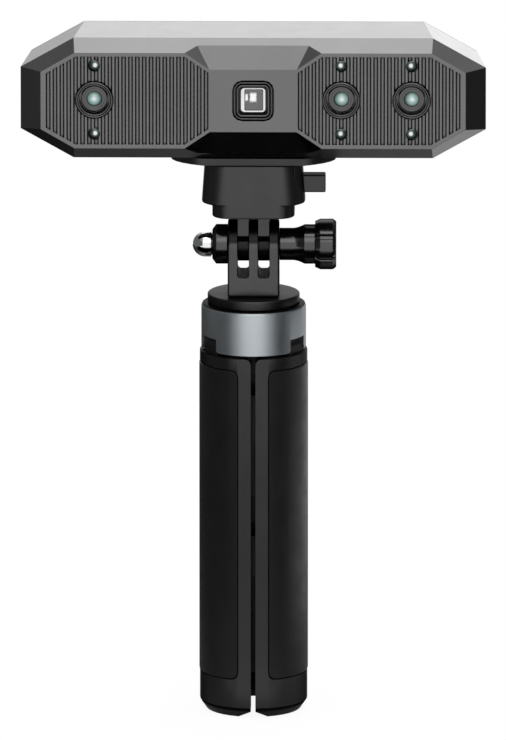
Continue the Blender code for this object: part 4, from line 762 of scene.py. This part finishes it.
def carved(base, joined, cutters, last_edge, first_edge=None):
    """One mesh from a base, bodies joined to it and bodies cut from it.

    The edges are (width in mm, steps, angle): the first are rounded before the carving.
    """
    body = mesh_object("carved_base", base)
    tools = []

    def bevel(edge):
        step = body.modifiers.new("edges", "BEVEL")
        step.width = edge[0] * MM
        step.segments = edge[1]
        step.limit_method = "ANGLE"
        step.angle_limit = math.radians(edge[2])

    if first_edge:
        bevel(first_edge)
    for operation, group in (("UNION", joined), ("DIFFERENCE", cutters)):
        for bm in group:
            tools.append(mesh_object("carving_tool", bm))
            step = body.modifiers.new("carve", "BOOLEAN")
            step.operation = operation
            step.solver = "EXACT"
            step.object = tools[-1]
    bevel(last_edge)
    depsgraph = bpy.context.evaluated_depsgraph_get()
    shape = bpy.data.meshes.new_from_object(body.evaluated_get(depsgraph))
    for tool in tools + [body]:
        bpy.data.objects.remove(tool)
    bm = bmesh.new()
    bm.from_mesh(shape)
    return bm


def mm_points(*pairs):
    """Points in metres from pairs in mm."""
    return [(r * MM, h * MM) for r, h in pairs]


def make_cameras():
    """Each camera: a stepped ring, a barrel with its face and baffle, and a domed lens."""
    ring = mm_points(
        (4.5, -3.0), (4.5, 0.08), (4.58, 0.20), (4.86, 0.20), (4.90, -0.15), (5.06, -0.15),
        (5.10, 0.30), (5.42, 0.30), (5.55, 0.12), (5.6, -0.2), (5.6, -3.0),
    )
    barrel = mm_points(
        (0, -4.2), (2.3, -4.2), (2.3, -2.02), (2.36, -1.95), (3.0, -1.95), (3.05, -1.99),
        (3.12, -1.99), (3.17, -1.95), (3.78, -1.95), (3.95, -2.15), (3.95, -5.8), (0, -5.8),
    )
    lens = mm_points(
        (0, -1.05), (0.45, -1.08), (0.9, -1.17), (1.3, -1.33), (1.65, -1.53), (1.95, -1.78),
        (2.15, -1.98), (2.2, -3.9), (0, -3.9),
    )
    for number, x in enumerate(CAMERAS, 1):
        for node, shape, look, slot in (
            ("camera_ring", lathe(ring, 96, 0.05), "ring", "grey_plastic"),
            ("camera_barrel", lathe(barrel, 80, 0.06), "barrel", "grey_plastic"),
            ("camera_lens", lathe(lens, 64, 0.12), f"lens_{number}", "dark_glass"),
        ):
            node = f"{node}_{number}"
            stand_in(node, shape, look, "scanner", (x, FRONT, ROW), FORWARD)


def make_lamps():
    """The six infrared lamps, each a smoked dome on a collar, in the ribbed windows."""
    radius, sink, steps = 2.5, 1.79, 12
    rim = math.acos(sink / (radius + 0.05))
    dome = []
    for step in range(steps + 1):
        angle = rim * step / steps
        dome.append((radius * math.sin(angle), radius * math.cos(angle) - sink))
    profile = mm_points(
        *dome, (dome[-1][0], -0.05), (1.5, -0.1), (1.5, -2.4), (1.9, -2.7), (1.9, -7.7), (0, -7.7),
    )
    number = 0
    for column, x in enumerate(CAMERAS, 1):
        for offset in (LIGHT_OFFSET, -LIGHT_OFFSET):
            number += 1
            stand_in(
                f"light_lens_{number}", lathe(profile, 48, 0.03), f"lamp_{column}",
                "scanner", (x, FRONT, ROW + offset), FORWARD,
            )


def even_square(half, corner, depth):
    """A section for nested() that is as wide as it is high."""
    return (-half, half, -half, half, corner, depth)


def make_projector():
    """The nested bezel, the bright rim and the window of the projector."""
    centre = (0, FRONT, HEAD_MIDDLE)
    frames = (
        (5.75, 2.45, 4.0), (5.75, 2.45, 0.15), (5.68, 2.38, 0.05), (5.42, 2.12, 0.05),
        (5.35, 2.05, 0.15), (5.33, 2.03, 1.9), (4.90, 1.60, 1.9), (4.88, 1.58, 0.15),
        (4.81, 1.51, 0.05), (4.52, 1.22, 0.05), (4.44, 1.14, 0.15), (4.40, 1.10, 4.0),
    )
    bezel = nested([even_square(*f) for f in frames])
    stand_in("projector_bezel", bezel, "ring", "scanner", centre)
    rim = nested((
        even_square(3.70, 1.10, 4.0), even_square(3.70, 1.10, 1.40),
        even_square(3.64, 1.04, 1.30), (-2.72, 3.10, -3.34, 3.42, 0.50, 1.31),
        (-2.64, 3.03, -3.27, 3.36, 0.44, 1.40), (-2.62, 3.02, -3.26, 3.35, 0.42, 1.9),
        (-2.62, 3.02, -3.26, 3.35, 0.42, 4.0),
    ))
    stand_in("projector_rim", rim, "bright_rim", "scanner", centre)
    pane = nested((
        (-2.48, 2.88, -3.12, 3.21, 0.36, 1.84), (-2.57, 2.97, -3.21, 3.30, 0.40, 1.92),
        (-2.58, 2.98, -3.22, 3.31, 0.40, 3.15), (-2.48, 2.88, -3.12, 3.21, 0.36, 3.2),
    ), capped=True)
    stand_in("projector_glass", pane, "window", "scanner", centre)


def make_clamp():
    """The nut holder, the domed cap nut and the disc under the bracket."""
    centre = (0, 0, TILT)
    holder = mm_points(
        (3.7, 12.5), (4.45, 12.5), (6.03, 11.35), (6.03, 8.0), (5.9, 7.86), (2.8, 7.86),
        (2.8, 9.5), (3.7, 9.5),
    )
    holder = lathe(holder, 96, 0.22, round_steps=4)
    stand_in("nut_holder", holder, "gloss_black", "mount", centre, LEFTWARD)
    tip, radius, steps = 18.5, 3.9, 16
    dome = []
    for step in range(steps + 1):
        angle = step * math.pi / (2 * steps)
        dome.append((radius * math.sin(angle), tip - radius + radius * math.cos(angle)))
    nut = lathe(mm_points(
        *dome, (3.9, 12.9), (3.4, 12.75), (3.4, 9.85), (2.8, 9.85), (2.8, 13.6), (0, 13.6),
    ), 96, 0.08)
    stand_in("cap_nut", nut, "chrome", "mount", centre, LEFTWARD)
    disc = lathe(mm_points(
        (3.4, 129.05), (13.45, 129.05), (13.8, 128.95), (13.95, 128.7), (13.95, 126.3),
        (3.4, 126.3),
    ), 128, 0.06)
    stand_in("bracket_disc", disc, "disc", "mount")


PIN_HOLE = 0.0001  # in mm: the knob's end and bore run almost to the axis, and join there
LOBES = 7
LOBE_SHARE = 0.74  # of each seventh of the turn
LOBE_FLANK = 0.05  # of it too
LOBE_DEPTH = 1.0 * MM
LOBE_STEPS = 36
NECK = 4.9
COLLAR = 6.0
KNOB_PHASE = math.radians(-93)


def make_knob():
    """The thumb knob: a waisted neck, a plain collar and a seven-lobed head, one turned body."""
    start, neck, flare, collar, end = 7.86, 12.1, 15.4, 18.6, 25.0
    profile = [(2.8, start), (4.75, start), (NECK, start + 0.15), (NECK, neck)]
    for share in (0.15, 0.3, 0.45, 0.6, 0.75, 0.9, 1.0):
        profile.append((NECK + (COLLAR - NECK) * share**1.6, neck + (flare - neck) * share))
    profile += [
        (COLLAR, collar - 0.02), (7.0, collar), (7.7, collar + 1.6), (7.7, end - 1.0),
        (6.95, end), (PIN_HOLE, end), (PIN_HOLE, 20.1), (2.8, 20.1),
    ]

    def outline(angle, reach, height):
        """Cuts the valleys between the lobes out of the knob's head."""
        along = ((angle - KNOB_PHASE) / (math.tau / LOBES) + 0.5) % 1 - 0.5
        off = abs(abs(along) - 0.5)
        half = (1 - LOBE_SHARE) / 2
        if height < (collar - 0.01) * MM or reach < 6.2 * MM or off >= half:
            return reach
        depth = min(1.0, (half - off) / LOBE_FLANK)
        return reach - LOBE_DEPTH * (depth * depth * (3 - 2 * depth))

    bm = lathe(mm_points(*profile), LOBES * LOBE_STEPS, 0.14, outline, 4)
    bmesh.ops.transform(bm, matrix=RIGHTWARD.to_4x4(), verts=bm.verts)
    stand_in("thumb_knob", bm, "gloss_black", "clamp_screw", (0, 0, TILT))


PITCH = 6.2
SLOT_HALF = 1.73
FINGER_HALF = 1.66
CARVED_EDGE = (0.12, 2, 60)


def make_bracket():
    """Three prongs on one block: round tops, round-cornered slots and soft vertical edges."""
    half, deep, low = 7.8, 7.6, -14.9
    corner, floor, open_end = 1.15, -9.1, 9.0
    side = [(-deep, low), *arc_points((0, 0), deep, 180, 0, 4), (deep, low)]
    cutters = []
    for middle in (-PITCH / 2, PITCH / 2):
        left, right = middle - SLOT_HALF, middle + SLOT_HALF
        outline = [
            (left, open_end),
            *arc_points((left + corner, floor + corner), corner, 180, 270, 10),
            *arc_points((right - corner, floor + corner), corner, 270, 360, 10),
            (right, open_end),
        ]
        cutter = slab_x(outline, -9, 9)
        bmesh.ops.transform(cutter, matrix=SWAP_XY, verts=cutter.verts)
        cutters.append(outward(cutter))
    cutters.append(cylinder(2.8, 20, RIGHTWARD.to_4x4()))
    cutters.append(cylinder(3.4, 5, Matrix.Translation((0, 0, -13.9 * MM))))
    bm = carved(slab_x(side, -half, half), [], cutters, (0.22, 2, 50), (0.65, 3, 40))
    even_out(stand_in(
        "three_prong_bracket", bm, "bracket", "mount", (0, 0, TILT),
    ))


def make_receiver():
    """The quick-release block: wide top, narrower base, two joint fingers and the latch's room."""
    centre = (0, 0, TILT)
    top = pillar((
        (15.15, 9.5, 6.9, 13.7), (15.5, 9.85, 7.25, 13.85), (15.65, 10.0, 7.4, 14.2),
        (14.85, 10.0, 7.4, 25.8), (14.6, 9.8, 7.2, 26.1),
    ))
    joined = [pillar((
        (12.15, 9.7, 4.9, 9.8), (12.4, 9.95, 5.15, 10.0), (12.45, 10.0, 5.2, 10.3),
        (12.45, 10.0, 5.2, 14.5),
    ))]
    side = [
        (6.5, 3.8), (6.5, 11.0), (-6.5, 11.0), (-6.5, 3.8), *arc_points((0, 0), 5.1, 160, 380, 6),
    ]
    for middle in (-PITCH / 2, PITCH / 2):
        joined.append(slab_x(side, middle - FINGER_HALF, middle + FINGER_HALF))
    cutters = [
        block((-11.45, 12.3), (-8.4, 8.4), (16.2, 27)),
        block((-13.4, -9), (-3.2, 3.2), (16.2, 27)),
        block((-7.3, 7.3), (-6.3, 6.3), (15.15, 27)),
        block((7, 17), (-2.75, 2.75), (16.2, 22.2)),
        cylinder(2.8, 14, RIGHTWARD.to_4x4()),
    ]
    bm = carved(top, joined, cutters, CARVED_EDGE)
    even_out(stand_in("receiver_body", bm, "receiver", "scanner", centre))
    cover = block((-11.15, 12.0), (-8.1, 8.1), (24.9, 26.1))
    tongue = block((-13.1, -10.5), (-2.9, 2.9), (24.9, 26.1))
    bm = carved(cover, [tongue], [], CARVED_EDGE)
    even_out(stand_in("latch_cover", bm, "black_plastic", "scanner", centre))


def coil(radius, thickness, turns, start, end):
    """A wire wound about X from start to end, closed at both ends; thickness is its radius."""
    steps, sides = 20, 8
    along = Vector((1, 0, 0))
    rings = []
    for number in range(turns * steps + 1):
        angle = math.tau * number / steps
        outwards = Vector((0, math.cos(angle), math.sin(angle)))
        middle = radius * outwards + (start + (end - start) * number / (turns * steps)) * along
        turned = [math.tau * side / sides for side in range(sides)]
        rings.append([
            middle + thickness * (math.cos(t) * outwards + math.sin(t) * along) for t in turned
        ])
    return lofted(rings)


def make_latch_spring():
    """The spring behind the release button; the real one shortens as the button is pressed."""
    start, end, height, thickness = -13.09, -9.6, TILT + 19.2 * MM, 0.25
    bm = coil(1.5, thickness, 4, start + thickness, end - thickness)
    piece = stand_in("latch_spring", bm, "steel", "scanner", (0, 0, height))
    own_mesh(piece)


def make_rear():
    """The scan button and the four rear screws with their six-sided sockets."""
    button = lathe(mm_points(
        (0, 0.12), (1.5, 0.16), (3.2, 0.30), (4.5, 0.40), (4.85, 0.30), (5.0, 0.05), (5.0, -2.3),
        (5.8, -2.3), (5.8, -3.1), (1.4, -3.1), (1.4, -4.9), (0, -4.9),
    ), 96, 0.12)
    stand_in(
        "scan_button", button, "black_plastic", "scan_key",
        (SCAN_BUTTON, BACK, HEAD_MIDDLE), BACKWARD,
    )
    head = mm_points(
        (0, -1.1), (0.9, -1.0), (0.9, -0.38), (1.0, -0.3), (1.75, -0.32), (1.98, -0.5),
        (2.0, -1.1), (1.0, -1.1), (1.0, -7.2), (0, -7.2),
    )

    def socket(angle, reach, height):
        """Gives the bore of the screw's head six flat sides."""
        if reach > 0.95 * MM or height < -1.05 * MM:
            return reach
        sector = (angle % (math.pi / 3)) - math.pi / 6
        return reach * math.cos(math.pi / 6) / math.cos(sector)

    for number, (sx, sz) in enumerate(((1, 1), (-1, 1), (-1, -1), (1, -1)), 1):
        centre = (sx * SCREW_OUT, BACK, HEAD_MIDDLE + sz * SCREW_UP)
        stand_in(
            f"rear_screw_{number}", lathe(head, 48, 0.05, socket), "steel", "scanner",
            centre, BACKWARD,
        )


# ---------------------------------------------------------------- floor, cards, lamps, camera

FLOOR_GLOW = 1.09
FLOOR_SHARE = 0.85  # of the glow in what the floor shows; the rest keeps the shadow
WORLD_LIGHT = 0.35
FLAT_CARD_HEIGHT = 0.002
WALL_CARD_FOOT = 0.004


def stage_plane(name, corners, look):
    """One face that belongs to the studio and not to the object."""
    bm = bmesh.new()
    bm.faces.new([bm.verts.new(c) for c in corners])
    obj = mesh_object(name, bm)
    obj.data.materials.append(look)
    return obj


def seen(tree):
    """1 for the rays that see a background: straight, mirrored or through glass."""
    rays = add(tree, "ShaderNodeLightPath").outputs
    total = math_node(tree, "ADD", rays["Is Camera Ray"], rays["Is Glossy Ray"])
    total = math_node(tree, "ADD", total, rays["Is Transmission Ray"])
    return math_node(tree, "MINIMUM", total, 1.0)


def floor_look():
    """Pale floor that shows near white and keeps the object's shadow."""
    look, tree = new_look("pale_floor")
    cloud = noise(tree, place(tree), 30, 4, 0.6)
    shade = ramp(tree, cloud, ((0.3, (0.86, 0.86, 0.86)), (0.7, (0.90, 0.90, 0.90))))
    wire(look, colour=shade, rough=0.9, specular=0.0)
    glow = add(tree, "ShaderNodeEmission", {"Color": grey(1.0), "Strength": FLOOR_GLOW})
    share = product(tree, seen(tree), FLOOR_SHARE)
    inputs = {0: share, 1: shader_of(look).outputs[0], 2: glow.outputs[0]}
    both = add(tree, "ShaderNodeMixShader", inputs)
    tree.links.new(both.outputs[0], tree.nodes["Material Output"].inputs["Surface"])
    return look


def card_look(name, levels, across, axis, louvred):
    """A dim glow whose level changes along an axis from across[0] to across[1].

    A louvred card shines along its face only, and is black from above.
    """
    look, tree = new_look(name)
    tree.nodes.remove(shader_of(look))
    level = span(tree, axis_of(tree, place(tree), axis), *levels, *across)
    if louvred:
        ray = add(tree, "ShaderNodeNewGeometry").outputs["Incoming"]
        steep = math_node(tree, "ABSOLUTE", axis_of(tree, ray, "Z"))
        level = product(tree, level, span(tree, steep, 1.0, 0.0, 0.32, 0.5))
    glow = add(tree, "ShaderNodeEmission", {"Color": grey(1.0), "Strength": level})
    tree.links.new(glow.outputs[0], tree.nodes["Material Output"].inputs["Surface"])
    return look


def card(name, corners, levels, across=(-1.0, 1.0), axis="X", louvred=False):
    """A studio card that only the gloss sees."""
    obj = stage_plane(name, corners, card_look(name, levels, across, axis, louvred))
    obj.visible_camera = False
    obj.visible_diffuse = False
    obj.visible_shadow = False
    obj.visible_transmission = False


def softbox(name, spot, aim, size, radiance):
    """An oblong lamp whose face has that brightness."""
    data = bpy.data.lights.new(name, "AREA")
    data.shape = "RECTANGLE"
    data.size, data.size_y = size
    data.energy = radiance * math.pi * size[0] * size[1]
    lamp = bpy.data.objects.new(name, data)
    lamp.location = spot
    direction = Vector(aim) - Vector(spot)
    lamp.rotation_euler = direction.to_track_quat("-Z", "Y").to_euler()
    bpy.context.scene.collection.objects.link(lamp)
    lamp.visible_camera = False


def level_corners(x0, x1, y0, y1, z=FLAT_CARD_HEIGHT):
    return [(x0, y0, z), (x1, y0, z), (x1, y1, z), (x0, y1, z)]


def wall_corners(start, end, top):
    foot = WALL_CARD_FOOT
    return [(*start, foot), (*end, foot), (*end, top), (*start, top)]


def studio():
    """The floor, the cards that the gloss mirrors, three soft lamps and the white world."""
    stage_plane("floor", level_corners(-8, 8, -8, 8, 0), floor_look())
    left = wall_corners((-0.5, -1.0), (-0.5, 1.25), 1.3)
    card("left_card", left, (0.12, 0.33), (0.45, 0.75), "Z")
    right = wall_corners((0.5, -1.0), (0.5, 0.6), 1.3)
    card("right_card", right, (0.06, 0.56), (0.45, 0.75), "Z")
    for name, x0, x1, levels, across in (
        ("front_left_card", -0.5, 0.0, (0.0, 0.62), (-0.16, -0.02)),
        ("front_right_card", 0.0, 0.5, (0.62, 0.0), (0.02, 0.16)),
    ):
        card(name, level_corners(x0, x1, -0.36, -0.03), levels, across, louvred=True)
    card("rear_floor_card", level_corners(-0.5, 0.11, -0.03, 0.6), (0.03, 0.30), (-0.14, 0.09))
    card("rear_right_floor_card", level_corners(0.34, 0.49, -0.1, 0.5), (0.3, 0.3))
    card("rear_left_card", wall_corners((-0.9, 0.95), (-0.14, 0.95), 0.75), (0.8, 0.8))
    softbox("overhead", (0.05, 0.0, 1.0), (0, 0, 0.15), (0.9, 0.8), 1.38)
    softbox("front_key", (0.0, -1.2, 1.0), (0, 0, 0.15), (1.0, 0.6), 0.8)
    softbox("rear_panel", (0.35, 1.3, 0.38), (0, 0, 0.16), (1.6, 0.6), 0.75)
    world = bpy.data.worlds.new("studio")
    bpy.context.scene.world = world
    world.use_nodes = True
    tree = world.node_tree
    back = tree.nodes["Background"]
    back.inputs["Color"].default_value = grey(1.0)
    tree.links.new(span(tree, seen(tree), WORLD_LIGHT, 1.0), back.inputs["Strength"])


def camera():
    """The camera, on the line of view at its distance from the target."""
    data = bpy.data.cameras.new("camera")
    data.sensor_width = SENSOR
    data.lens = FOCAL
    data.clip_end = 60
    cam = bpy.data.objects.new("camera", data)
    azimuth, elevation = math.radians(VIEW_AZIMUTH), math.radians(VIEW_ELEVATION)
    flat = math.cos(elevation)
    back = Vector((math.sin(azimuth) * flat, -math.cos(azimuth) * flat, math.sin(elevation)))
    cam.location = Vector(VIEW_TARGET) + VIEW_DISTANCE * back
    cam.rotation_euler = (-back).to_track_quat("-Z", "Y").to_euler()
    bpy.context.scene.collection.objects.link(cam)
    bpy.context.scene.camera = cam


finish_nodes()
make_cameras()
make_lamps()
make_projector()
make_clamp()
make_knob()
make_bracket()
make_receiver()
make_latch_spring()
make_rear()
studio()
camera()
bpy.context.scene.view_settings.view_transform = "Standard"
